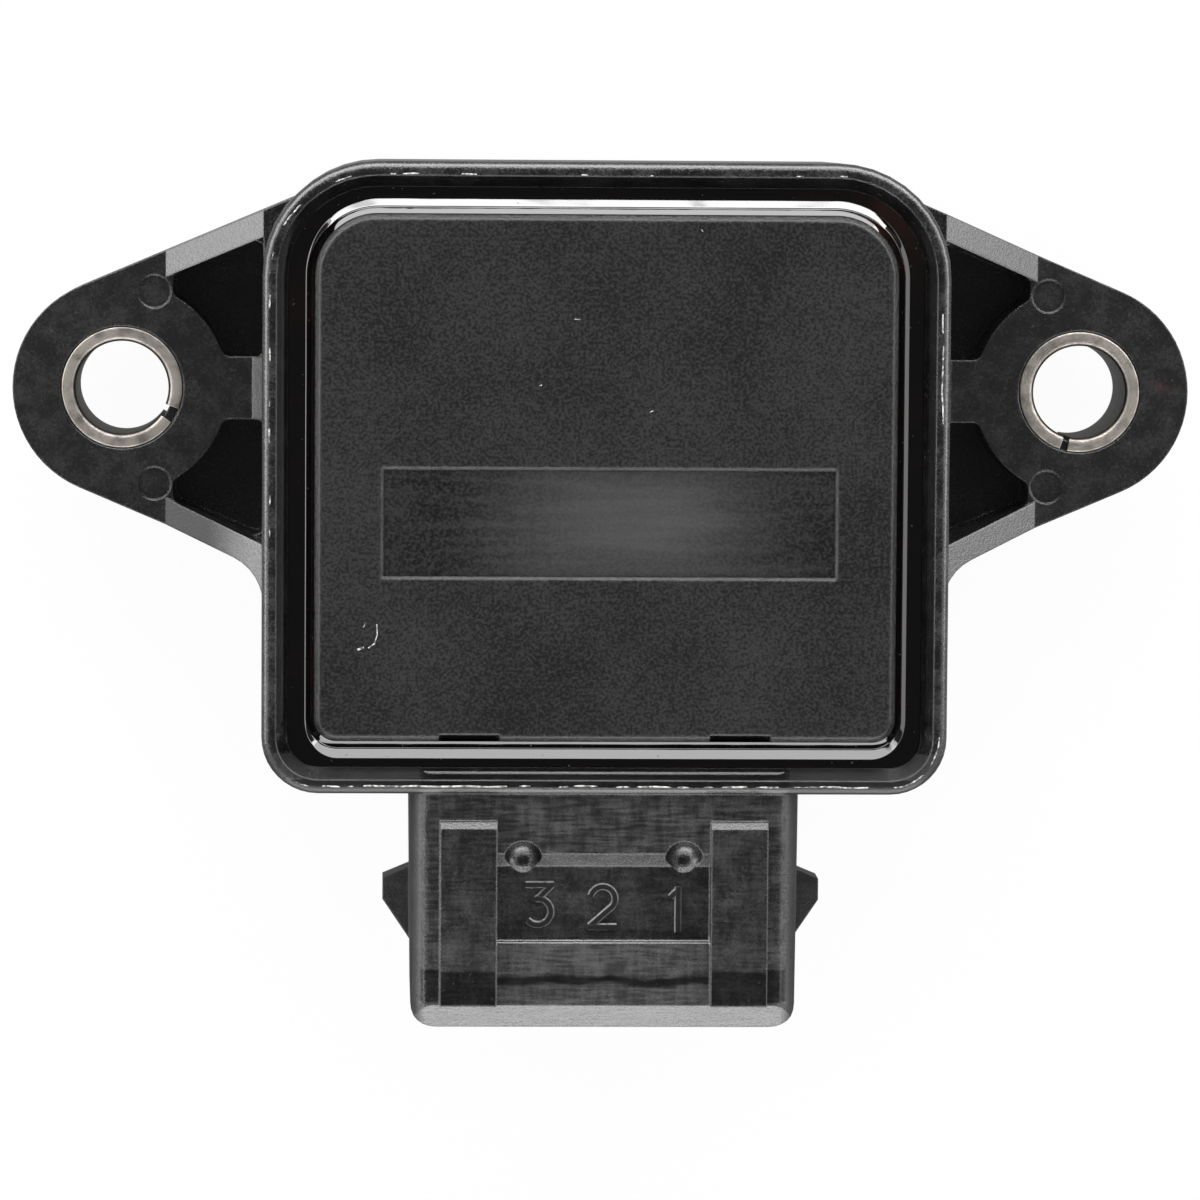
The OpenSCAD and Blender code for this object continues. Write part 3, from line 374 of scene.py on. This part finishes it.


# Drawn or rolled metal: a shade, rubbed bright edges and marks along one direction, and painted shade on
# faces that are not level when a side share is given
def paintMetal(name, colour, roughness, stretch=(1, 1, 6), tarnish=0.5, rounding=0.06, side=1.0):
    paint = Paint(name)
    edge, rounded = paint.edges(rounding)
    line = paint.grain(0.12, 3, stretch=stretch)
    spot = paint.grain(0.9, 4, seed=5.0)
    dull = tuple(c * tarnish for c in colour[:3]) + (1,)
    bright = tuple(min(c * 1.15, 1) for c in colour[:3]) + (1,)
    shade = paint.blend(paint.step(spot, 0.4, 0.7), colour, dull)
    shade = paint.blend(edge * 0.6, shade, bright)
    # Painted shade: faces that are not level, such as the bushing's chamfers and bore, are darkened by the
    # side share
    if side < 1:
        sideShade = tuple(c * side for c in colour[:3]) + (1,)
        shade = paint.blend(paint.step(paint.upward().abs(), 0.93, 0.75), shade, sideShade)
    roughness = roughness + line * 0.16 - edge * 0.05
    return paint.finish(shade, roughness, line + spot, 0.02, rounded, Metallic=1.0)


# Plain moulded, fired or printed stuff: a shade with a darker or paler second one, and rubbed edges
def paintPlain(name, colour, second, roughness, size=0.4, depth=0.03, edgeShade=1.5, rounding=0.08, **fixed):
    paint = Paint(name)
    edge, rounded = paint.edges(rounding)
    fine = paint.grain(size, 3)
    cloud = paint.grain(size * 8, 3, seed=5.0)
    worn = tuple(min(c * edgeShade, 1) for c in colour[:3]) + (1,)
    shade = paint.blend(paint.step(fine * 0.4 + cloud * 0.6, 0.35, 0.7), colour, second)
    shade = paint.blend(edge * 0.5, shade, worn)
    roughness = roughness + fine * 0.1 + cloud * 0.06 - edge * 0.04
    return paint.finish(shade, roughness, fine, depth, rounded, **fixed)


finishes = {
    "housing_plastic": paintHousing(),
    "cover_plastic": paintCover(),
    "potting_resin": paintPotting(),
    "bushing_steel": paintMetal("bushing steel", (0.6, 0.55, 0.5, 1), 0.38, (1, 1, 5), 0.5, side=0.12),
    "tinned_brass": paintMetal("tinned brass", (0.72, 0.7, 0.66, 1), 0.28, (1, 8, 1), 0.75),
    "spring_bronze": paintMetal("spring bronze", (0.62, 0.4, 0.2, 1), 0.26, (1, 6, 1), 0.7),
    "spring_steel": paintMetal("spring steel", (0.52, 0.52, 0.53, 1), 0.24, (1, 1, 6), 0.7),
    "silver_film": paintPlain("silver film", (0.62, 0.62, 0.6, 1), (0.5, 0.49, 0.46, 1), 0.4, 0.1, 0.01,
                              1.1, Metallic=0.8),
    "carbon_film": paintPlain("carbon film", (0.02, 0.02, 0.022, 1),
                              (0.035, 0.035, 0.037, 1), 0.35, 0.1, 0.01),
    "board_ceramic": paintPlain("board ceramic", (0.72, 0.7, 0.64, 1),
                                (0.64, 0.62, 0.56, 1), 0.55, 0.2, 0.02, 1.1),
    "rotor_plastic": paintPlain("rotor plastic", (0.68, 0.64, 0.52, 1),
                                (0.6, 0.56, 0.45, 1), 0.45, 0.3, 0.02, 1.1),
    "seal_rubber": paintPlain("seal rubber", (0.02, 0.02, 0.02, 1), (0.04, 0.04, 0.04, 1), 0.55, 0.15),
    "o_ring_rubber": paintPlain("ring rubber", (0.16, 0.05, 0.025, 1), (0.1, 0.035, 0.02, 1), 0.5, 0.2),
}
print("finishes made:", len(finishes))


# A mesh from a grid of points: each face joins two neighbours in a row to the same two in the next row. The
# rows and the columns close on themselves if asked, and caps close the first and last row
def gridMesh(name, points, closeRows, closeColumns, caps=False):
    rows, columns = points.shape[:2]
    index = np.arange(rows * columns).reshape(rows, columns)
    nextRow = np.roll(index, -1, 0) if closeRows else index[1:]
    a = index if closeRows else index[:-1]
    nextColumn = np.roll(a, -1, 1)
    nextBoth = np.roll(nextRow, -1, 1)
    quads = np.stack([a, nextColumn, nextBoth, nextRow], -1)
    if not closeColumns:
        quads = quads[:, :-1]
    faces = quads.reshape(-1, 4).tolist()
    if caps:
        faces += [index[0][::-1].tolist(), index[-1].tolist()]
    mesh = bpy.data.meshes.new(name)
    mesh.from_pydata((points.reshape(-1, 3) * mm).tolist(), [], faces)
    return mesh


# A mesh as a finished piece: its own material or the slot's, on its body, for the node it stands for
def placePiece(name, mesh, slot, body, replaced, material=None):
    piece = bpy.data.objects.new(name, mesh)
    bpy.context.scene.collection.objects.link(piece)
    mesh.materials.append(material or finishes[slot])
    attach(piece, body)
    if replaced:
        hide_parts(replaced)


# A made mesh as a piece: normals outwards, and smooth but for edges that bend by more than the limit
def addPiece(name, mesh, slot, replaced=None, sharp=35.0, material=None):
    work = bmesh.new()
    work.from_mesh(mesh)
    bmesh.ops.recalc_face_normals(work, faces=work.faces)
    shade(work, sharp)
    work.to_mesh(mesh)
    work.free()
    placePiece(name, mesh, slot, "sensor", replaced, material)


# Faces smooth, and edges that bend by more than the limit sharp
def shade(work, sharp):
    for face in work.faces:
        face.smooth = True
    limit = math.radians(sharp)
    for edge in work.edges:
        edge.smooth = len(edge.link_faces) == 2 and edge.calc_face_angle(math.pi) < limit


# A copy of a CAD node with points merged that are less than 0.002 mm apart, and with smooth curved faces
def dressNode(node, name, slot, body="sensor", sharp=25.0):
    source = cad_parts[node]
    mesh = source.data.copy()
    mesh.materials.clear()
    work = bmesh.new()
    work.from_mesh(mesh)
    bmesh.ops.remove_doubles(work, verts=work.verts, dist=2e-6)
    shade(work, sharp)
    work.to_mesh(mesh)
    work.free()
    if mesh.has_custom_normals:
        mesh.attributes.remove(mesh.attributes["custom_normal"])
    placePiece(name, mesh, slot, body, node)


nodeFinish = {
    "terminal_1": "tinned_brass", "terminal_2": "tinned_brass", "terminal_3": "tinned_brass",
    "contact_strip_1": "spring_bronze", "contact_strip_2": "spring_bronze",
    "contact_strip_3": "spring_bronze",
    "track_board": "board_ceramic", "resistor_track": "carbon_film", "collector_track": "silver_film",
    "end_leads": "silver_film", "wiper_comb": "spring_bronze", "wave_washer": "spring_steel",
    "housing": "housing_plastic", "cover_plate": "cover_plastic", "potting_bead": "potting_resin",
    "left_bushing": "bushing_steel", "right_bushing": "bushing_steel", "rotor": "rotor_plastic",
    "shaft_clip": "spring_steel", "lip_seal": "seal_rubber", "mounting_o_ring": "o_ring_rubber",
}
for node, slot in nodeFinish.items():
    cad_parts[node].data.materials.clear()
    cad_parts[node].data.materials.append(finishes[slot])

dressNode("housing", "moulded_housing", "housing_plastic")
dressNode("cover_plate", "set_cover", "cover_plastic")
dressNode("rotor", "turning_rotor", "rotor_plastic", "rotor")
dressNode("lip_seal", "turned_lip_seal", "seal_rubber")
dressNode("mounting_o_ring", "round_o_ring", "o_ring_rubber")
dressNode("shaft_clip", "bowed_clip", "spring_steel", "rotor")
print("node copies dressed")


# Points around a rectangle that is centred on the Y axis, one row for each inset: four quarter circles,
# whose radii shrink by the inset
def roundOutline(box, topRadius, lowRadius, inset, steps=14):
    halfWidth, low, high = box
    quarter = np.linspace(0, math.pi / 2, steps)
    corners = [(1, 1, topRadius, 0), (-1, 1, topRadius, 1), (-1, -1, lowRadius, 2), (1, -1, lowRadius, 3)]
    rows = []
    for side, end, radius, quarters in corners:
        r = np.maximum(radius - inset, 0.05)[:, None]
        cx = side * (halfWidth - inset[:, None] - r)
        edge = high - inset[:, None] - r if end > 0 else low + inset[:, None] + r
        turn = quarter + quarters * math.pi / 2
        rows.append(np.stack([cx + r * np.cos(turn), edge + r * np.sin(turn)], -1))
    return np.concatenate(rows, 1)


pottingLook = {"level": 13.3, "wallClimb": 0.03, "wallWidth": 0.15, "turn": 0.04, "corner": 0.1,
               "join": 0.2, "cornerSteps": 28, "rows": 60,
               "start": {"upper": 0.59, "lower": 0.42, "left": 0.92, "right": 0.8},
               "width": {"upper": 0.51, "lower": 0.65, "left": 0.18, "right": 0.36},
               "even": {"upper": 0.4, "lower": 0.33, "left": 0.397, "right": 0.354},
               "steep": {"upper": 0.63, "lower": 0.595, "left": 1.6, "right": 1.6}}


# Weights of the four sides for directions of an outline: the squares of the direction's parts
def sideWeights(turn):
    across, along = np.cos(turn), np.sin(turn)
    return {"upper": np.clip(along, 0, 1) ** 2, "lower": np.clip(-along, 0, 1) ** 2,
            "right": np.clip(across, 0, 1) ** 2, "left": np.clip(-across, 0, 1) ** 2}


# The same weights with the ends' share kept well into the corners
def cornerWeights(turn):
    beside = softStep(np.abs(np.cos(turn)), 0.8, 0.08)
    weights = {"upper": (1 - beside) * (np.sin(turn) > 0), "lower": (1 - beside) * (np.sin(turn) <= 0),
               "right": beside * (np.cos(turn) > 0), "left": beside * (np.cos(turn) <= 0)}
    return weights


# A value for each direction: the sides' values by their weights
def mixSides(values, weights):
    return sum(values[side] * weights[side] for side in weights)


# From 0 to 1 by a hyperbolic tangent about the middle
def softStep(value, middle, width):
    return 0.5 * (1 + np.tanh((value - middle) / width))


# The potting: a ring whose top is level, climbs a little at the wall by an exponential of the distance,
# and climbs the plate by the running sum of a slope that is first even and then steeper, by side
def makePotting():
    look = pottingLook
    steps, rows = look["cornerSteps"], look["rows"]
    quarter = np.linspace(0, math.pi / 2, steps)
    turn = np.concatenate([quarter + k * math.pi / 2 for k in range(4)])
    weights = sideWeights(turn)
    start = mixSides(look["start"], weights)
    end = start + mixSides(look["width"], weights)
    even = mixSides(look["even"], cornerWeights(turn)) + look["corner"] * np.sin(2 * turn) ** 4
    steep = mixSides(look["steep"], cornerWeights(turn))
    width = plateInset - rimTopWidth - rimSlopeWidth - 2 * fit
    along = np.linspace(0, 1, rows)[:, None] * width
    slope = even * softStep(along, start, look["turn"]) + (steep - even) * softStep(along, end, look["turn"])
    climb = np.cumsum(slope, 0) * width / (rows - 1)
    top = look["level"] + look["wallClimb"] * np.exp(-along / look["wallWidth"]) + climb
    top = np.minimum(top, pottingHigh[2])
    bottom = np.full((1, len(turn)), pottingLow[2])
    height = np.concatenate([bottom, top, bottom])
    inset = np.concatenate([[0], along[:, 0], [width]]) + rimTopWidth + rimSlopeWidth + fit
    reach = softStep(inset - rimWidth, look["join"], look["join"] / 2)
    lowRadius = bodyRadii[1] + (plateCorner + plateInset - bodyRadii[1]) * reach
    flat = roundOutline((bodyHalfWidth, bodyLow, bodyHigh), bodyRadii[0], lowRadius, inset, steps)
    points = np.concatenate([flat, height[:, :, None]], -1)
    addPiece("smooth_potting", gridMesh("smooth_potting", points, True, True), "potting_resin",
             replaced="potting_bead", sharp=50)


makePotting()
print("potting made")


# A loop of points at even distances along a closed line: its coordinates read off over its running length
def evenLoop(line, count):
    closed = np.concatenate([line, line[:1]])
    length = np.concatenate([[0], np.cumsum(np.linalg.norm(np.diff(closed, axis=0), axis=1))])
    at = np.linspace(0, length[-1], count, endpoint=False)
    return np.stack([np.interp(at, length, closed[:, k]) for k in (0, 1)], -1)


# Seeded noise along a loop: random numbers blurred over a number of neighbours, from about -1 to 1
def loopNoise(count, blur, seed):
    raw = np.random.default_rng(seed).normal(size=count)
    kernel = np.exp(-0.5 * (np.fft.fftfreq(count) * count / blur) ** 2)
    smooth = np.real(np.fft.ifft(np.fft.fft(raw) * np.fft.fft(kernel)))
    return smooth / np.abs(smooth).max()


flashLook = {"inset": {"upper": 0.72, "lower": 0.46, "left": 0.45, "right": 0.5}, "count": 1600,
             "width": 0.13, "height": 0.1, "wander": 0.07, "bite": 0.35, "lowerBonus": 0.4}


# Mould flash on the rim: a low ridge along a line that noise moves sideways. Its height is the sum of fine
# and broad noise, less a bite, so that it dips into the rim where it is torn away
def makeFlash():
    look = flashLook
    line = roundOutline((bodyHalfWidth, bodyLow, bodyHigh), *bodyRadii, np.array([0.5]))[0]
    path = evenLoop(line, look["count"])
    ahead = np.roll(path, -1, 0) - np.roll(path, 1, 0)
    ahead /= np.linalg.norm(ahead, axis=1)[:, None]
    side = np.stack([ahead[:, 1], -ahead[:, 0]], -1)
    inset = mixSides(look["inset"], sideWeights(np.arctan2(side[:, 1], side[:, 0])))
    path = path + side * (0.5 - inset + loopNoise(look["count"], 5, 1) * look["wander"])[:, None]
    lower = np.clip(-side[:, 1], 0, 1) * look["lowerBonus"]
    rise = loopNoise(look["count"], 3, 2) * 0.6 + loopNoise(look["count"], 30, 3) * 0.4
    rise = np.clip(rise - look["bite"] + lower, -0.3, 0.5) * look["height"] / 0.5
    spread = look["width"] * np.array([-1, -0.4, 0.4, 1]) / 2
    lift = np.array([-0.06, 1, 1, -0.06])
    flat = path[:, None] + side[:, None] * spread[None, :, None]
    height = rimTop + np.where(lift > 0, rise[:, None], 0) + np.where(lift > 0, 0, lift)
    points = np.concatenate([flat, height[:, :, None]], -1)
    addPiece("rim_flash", gridMesh("rim_flash", points, True, True), "housing_plastic", sharp=80,
             material=scuffedPlastic)


scuffedPlastic = paintScuffed()
makeFlash()
print("rim flash made")


# Points on a circle between two angles in degrees
def bend(cx, cy, r, start, end, steps=14):
    turn = np.radians(np.linspace(start, end, steps))
    return np.stack([cx + r * np.cos(turn), cy + r * np.sin(turn)], -1)


# A raised stroke: a trapezium of the given width, with sides that lean in, carried square to a line that
# lies at one height, with closed ends
def strokeMesh(name, line, level, width, height, sink=0.05, side=0.05):
    line = np.asarray(line, float)
    ahead = np.gradient(line, axis=0)
    ahead /= np.linalg.norm(ahead, axis=1)[:, None]
    across = np.stack([-ahead[:, 1], ahead[:, 0]], -1)
    spread = np.array([-width / 2, side - width / 2, width / 2 - side, width / 2])
    lift = np.array([-sink, height, height, -sink]) + level
    flat = line[:, None] + across[:, None] * spread[None, :, None]
    points = np.concatenate([flat, np.broadcast_to(lift[None, :, None], flat.shape[:2] + (1,))], -1)
    return gridMesh(name, points, False, True, caps=True)


# A line with extra points at steps along each stretch, so that its corners stay sharp when it is carried
def denser(points, step=0.06):
    points = np.asarray(points, float)
    parts = []
    for a, b in zip(points[:-1], points[1:]):
        n = max(int(np.linalg.norm(b - a) / step), 1)
        parts.append(a + (b - a) * np.linspace(0, 1, n, endpoint=False)[:, None])
    return np.concatenate(parts + [points[-1:]])


digitLook = {
    "width": 0.46, "side": 0.1, "apart": 0.012, "height": 0.16, "level": 13.25,
    "places": {"3": (-3.6, -28.9), "2": (0.0, -29.0), "1": (4.25, -29.15)},
    "strokes": {
        "3": [[(-0.8, 1.15), (0.8, 1.15)], [(0.7, 1.15), (-0.15, 0.3)], bend(-0.1, -0.38, 0.75, 100, -140)],
        "2": [np.concatenate([bend(-0.02, 0.45, 0.7, 165, -35), [(-0.75, -1.1)]]),
              [(-0.85, -1.15), (0.77, -1.15)]],
        "1": [[(-0.42, 0.7), (0.0, 1.12)], [(0.0, 1.3), (0.0, -1.3)]],
    },
}


# The pin numbers in the recess: raised strokes that overlap at their ends, each one's top a little higher
# than the last one's
def makeDigits():
    look = digitLook
    for digit, lines in look["strokes"].items():
        name = "pin_number_" + digit
        work = bmesh.new()
        for order, line in enumerate(lines):
            placed = denser(np.asarray(line) + np.array(look["places"][digit]))
            rise = look["height"] + order * look["apart"]
            work.from_mesh(strokeMesh(name, placed, look["level"], look["width"], rise, side=look["side"]))
        mesh = bpy.data.meshes.new(name)
        work.to_mesh(mesh)
        work.free()
        addPiece(name, mesh, "housing_plastic", material=numberPlastic)


numberPlastic = paintNumbers()
makeDigits()
print("pin numbers made")


scratchLook = {"level": 14.3, "thick": 0.012, "lines": [
    (0.09, [(-12.87, -12.9), (-12.84, -13.5), (-13.0, -14.0), (-13.35, -14.25)]),
    (0.16, [(-13.95, -14.35), (-13.6, -14.2)]),
    (0.07, [(-13.5, -12.8), (-13.62, -13.1)]),
    (0.06, [(-1.85, 4.3), (-1.5, 4.27)]),
    (0.07, [(-3.8, 0.55), (-3.65, 0.6)]),
    (0.08, [(5.2, 9.35), (5.32, 9.25)]),
    (0.06, [(2.4, -0.9), (2.6, -0.82)]),
]}


# Scratches on the cover: thin pale strokes that lie on it
def makeScratches():
    look = scratchLook
    for number, (width, line) in enumerate(look["lines"], 1):
        name = f"cover_scratch_{number}"
        mesh = strokeMesh(name, denser(line, 0.1), look["level"], width, look["thick"],
                          sink=look["thick"], side=width / 4)
        addPiece(name, mesh, "cover_plastic", material=scuffedPlastic)


makeScratches()
print("scratches made")


bushingLook = {"outer": 3.5, "bore": 2.65, "height": 6.5, "outerRounding": 0.14, "boreRounding": 0.3,
               "pitch": 55.0, "left": (-28.0, 0.9), "right": (-105.0, 0.45)}


# A rolled sleeve, open at the seam: its section is a rectangle whose corners are quarter circles, set in by
# their radii, and each point of it is turned about the hole's axis from one side of the seam to the other
def makeBushing(node, name, x, seamAngle, seamWidth):
    look = bushingLook
    half = math.degrees(math.asin(seamWidth / 2 / look["outer"]))
    turn = np.radians(np.linspace(seamAngle + half, seamAngle + 360 - half, 120))
    quarter = np.linspace(0, math.pi / 2, 6)
    corners = [(look["outer"], -1, look["height"], -1, look["outerRounding"]),
               (look["bore"], 1, look["height"], -1, look["boreRounding"]),
               (look["bore"], 1, 0, 1, look["boreRounding"]),
               (look["outer"], -1, 0, 1, look["outerRounding"])]
    radial = np.concatenate([edge + inward * r + r * np.cos(quarter + k * math.pi / 2)
                             for k, (edge, inward, end, back, r) in enumerate(corners)])
    upward = np.concatenate([end + back * r + r * np.sin(quarter + k * math.pi / 2)
                             for k, (edge, inward, end, back, r) in enumerate(corners)])
    points = np.stack([x + np.cos(turn)[:, None] * radial, np.sin(turn)[:, None] * radial,
                       np.broadcast_to(upward, (len(turn), len(upward)))], -1)
    addPiece(name, gridMesh(name, points, False, True, caps=True), "bushing_steel", replaced=node)


for side, node in ((-1, "left_bushing"), (1, "right_bushing")):
    angle, gap = bushingLook["left" if side < 0 else "right"]
    makeBushing(node, node.replace("bushing", "sleeve"), side * bushingLook["pitch"] / 2, angle, gap)
print("bushings made")


floorLook = {"level": -2.62, "half": 3000.0, "white": 0.85, "shown": 0.95, "mirror": 0.35}


# A pale floor: its colour is diffuse; the camera sees it mostly as plain white, and mirrors mostly as a mid
# grey
def makeFloor():
    look = floorLook
    half = look["half"] * mm
    z = look["level"] * mm
    mesh = bpy.data.meshes.new("floor")
    corners = [(-half, -half, z), (half, -half, z), (half, half, z), (-half, half, z)]
    mesh.from_pydata(corners, [], [(0, 1, 2, 3)])
    floor = bpy.data.objects.new("floor", mesh)
    bpy.context.scene.collection.objects.link(floor)
    paint = Paint("floor")
    paint.shader.inputs["Base Color"].default_value = grey(look["white"])
    paint.shader.inputs["Roughness"].default_value = 0.9
    seen = paint.add("ShaderNodeLightPath", {}, {}, "Is Camera Ray")
    mirrored = paint.add("ShaderNodeLightPath", {}, {}, "Is Glossy Ray")
    through = paint.add("ShaderNodeLightPath", {}, {}, "Is Transmission Ray")
    shade = paint.blend(mirrored, grey(1.0), grey(look["mirror"]))
    glow = paint.add("ShaderNodeEmission", {}, {"Color": shade, "Strength": 1.0}, "Emission")
    factor = (seen + mirrored + through) * look["shown"]
    base = Signal(paint, paint.shader.outputs[0])
    mixed = paint.add("ShaderNodeMixShader", {}, {0: factor, 1: base, 2: glow}, 0)
    paint.tree.links.new(mixed.socket, paint.tree.nodes["Material Output"].inputs["Surface"])
    mesh.materials.append(paint.material)


tentLook = {"From Min": 0.1, "From Max": 0.7, "To Min": 0.6, "To Max": 0.05}


# The tent: white near the horizon and dark overhead, where the camera looks in; the camera sees it white
def makeWorld():
    world = bpy.data.worlds.new("tent")
    bpy.context.scene.world = world
    world.use_nodes = True
    nodes = Nodes(world.node_tree)
    direction = nodes.add("ShaderNodeTexCoord", {}, {}, "Generated")
    height = nodes.add("ShaderNodeSeparateXYZ", {}, {0: direction}, "Z")
    level = nodes.add("ShaderNodeMapRange", {}, {"Value": height, **tentLook})
    seen = nodes.add("ShaderNodeLightPath", {}, {}, "Is Camera Ray")
    nodes.fill(world.node_tree.nodes["Background"],
               {"Color": grey(1.0), "Strength": nodes.sum("MAXIMUM", level, seen)})


# Soft boxes round the tent: where each stands in degrees, its size in metres and its brightness
boxes = {
    "upper": {"azimuth": 90, "elevation": 22, "width": 0.6, "height": 0.15, "bright": 5.3},
    "upper tube": {"azimuth": 90, "elevation": 44, "width": 0.6, "height": 0.022, "bright": 11},
    "lower": {"azimuth": -90, "elevation": 22, "width": 0.5, "height": 0.15, "bright": 3.7},
    "lower tube": {"azimuth": -90, "elevation": 48, "width": 0.8, "height": 0.035, "bright": 4.6},
    "left tube": {"azimuth": 180, "elevation": 46, "width": 0.5, "height": 0.024, "bright": 4.0},
    "right tube": {"azimuth": 0, "elevation": 46, "width": 0.5, "height": 0.04, "bright": 1.6},
    "left": {"azimuth": 162, "elevation": 22, "width": 0.36, "height": 0.13, "bright": 4.2},
    "right": {"azimuth": 22, "elevation": 22, "width": 0.34, "height": 0.13, "bright": 3.8},
}
boxDistance = 0.34


# Each soft box stands at its distance from the sensor's middle, faces it, and gives its brightness
# times pi times its area in watts
def makeBoxes():
    centre = Vector((0, -11 * mm, 8 * mm))
    for name, look in boxes.items():
        lamp = bpy.data.lights.new(name, "AREA")
        lamp.shape = "RECTANGLE"
        lamp.size, lamp.size_y = look["width"], look["height"]
        lamp.energy = look["bright"] * math.pi * look["width"] * look["height"]
        holder = bpy.data.objects.new(name, lamp)
        turn, lift = math.radians(look["azimuth"]), math.radians(look["elevation"])
        way = Vector((math.cos(turn) * math.cos(lift), math.sin(turn) * math.cos(lift), math.sin(lift)))
        holder.location = centre + way * boxDistance
        holder.rotation_mode = "QUATERNION"
        holder.rotation_quaternion = way.to_track_quat("Z", "Y")
        bpy.context.scene.collection.objects.link(holder)


cameraLook = {"place": (-12.7, 15.6, 355.7), "turn": (-4.54, -2.06, 0.30), "lens": 182.7, "sensor": 36.0}


# The camera: its place, and its turn as a vector along the axis whose length is the angle
def makeCamera():
    look = cameraLook
    camera = bpy.data.cameras.new("camera")
    camera.lens = look["lens"]
    camera.sensor_width = look["sensor"]
    camera.clip_start = 0.01
    holder = bpy.data.objects.new("camera", camera)
    turn = Vector(look["turn"]) * math.radians(1)
    holder.location = Vector(look["place"]) * mm
    holder.rotation_mode = "QUATERNION"
    holder.rotation_quaternion = Quaternion(turn.normalized(), turn.length)
    bpy.context.scene.collection.objects.link(holder)
    bpy.context.scene.camera = holder


makeFloor()
makeWorld()
makeBoxes()
makeCamera()
bpy.context.scene.view_settings.view_transform = "Standard"
print("stage, lights and camera set")
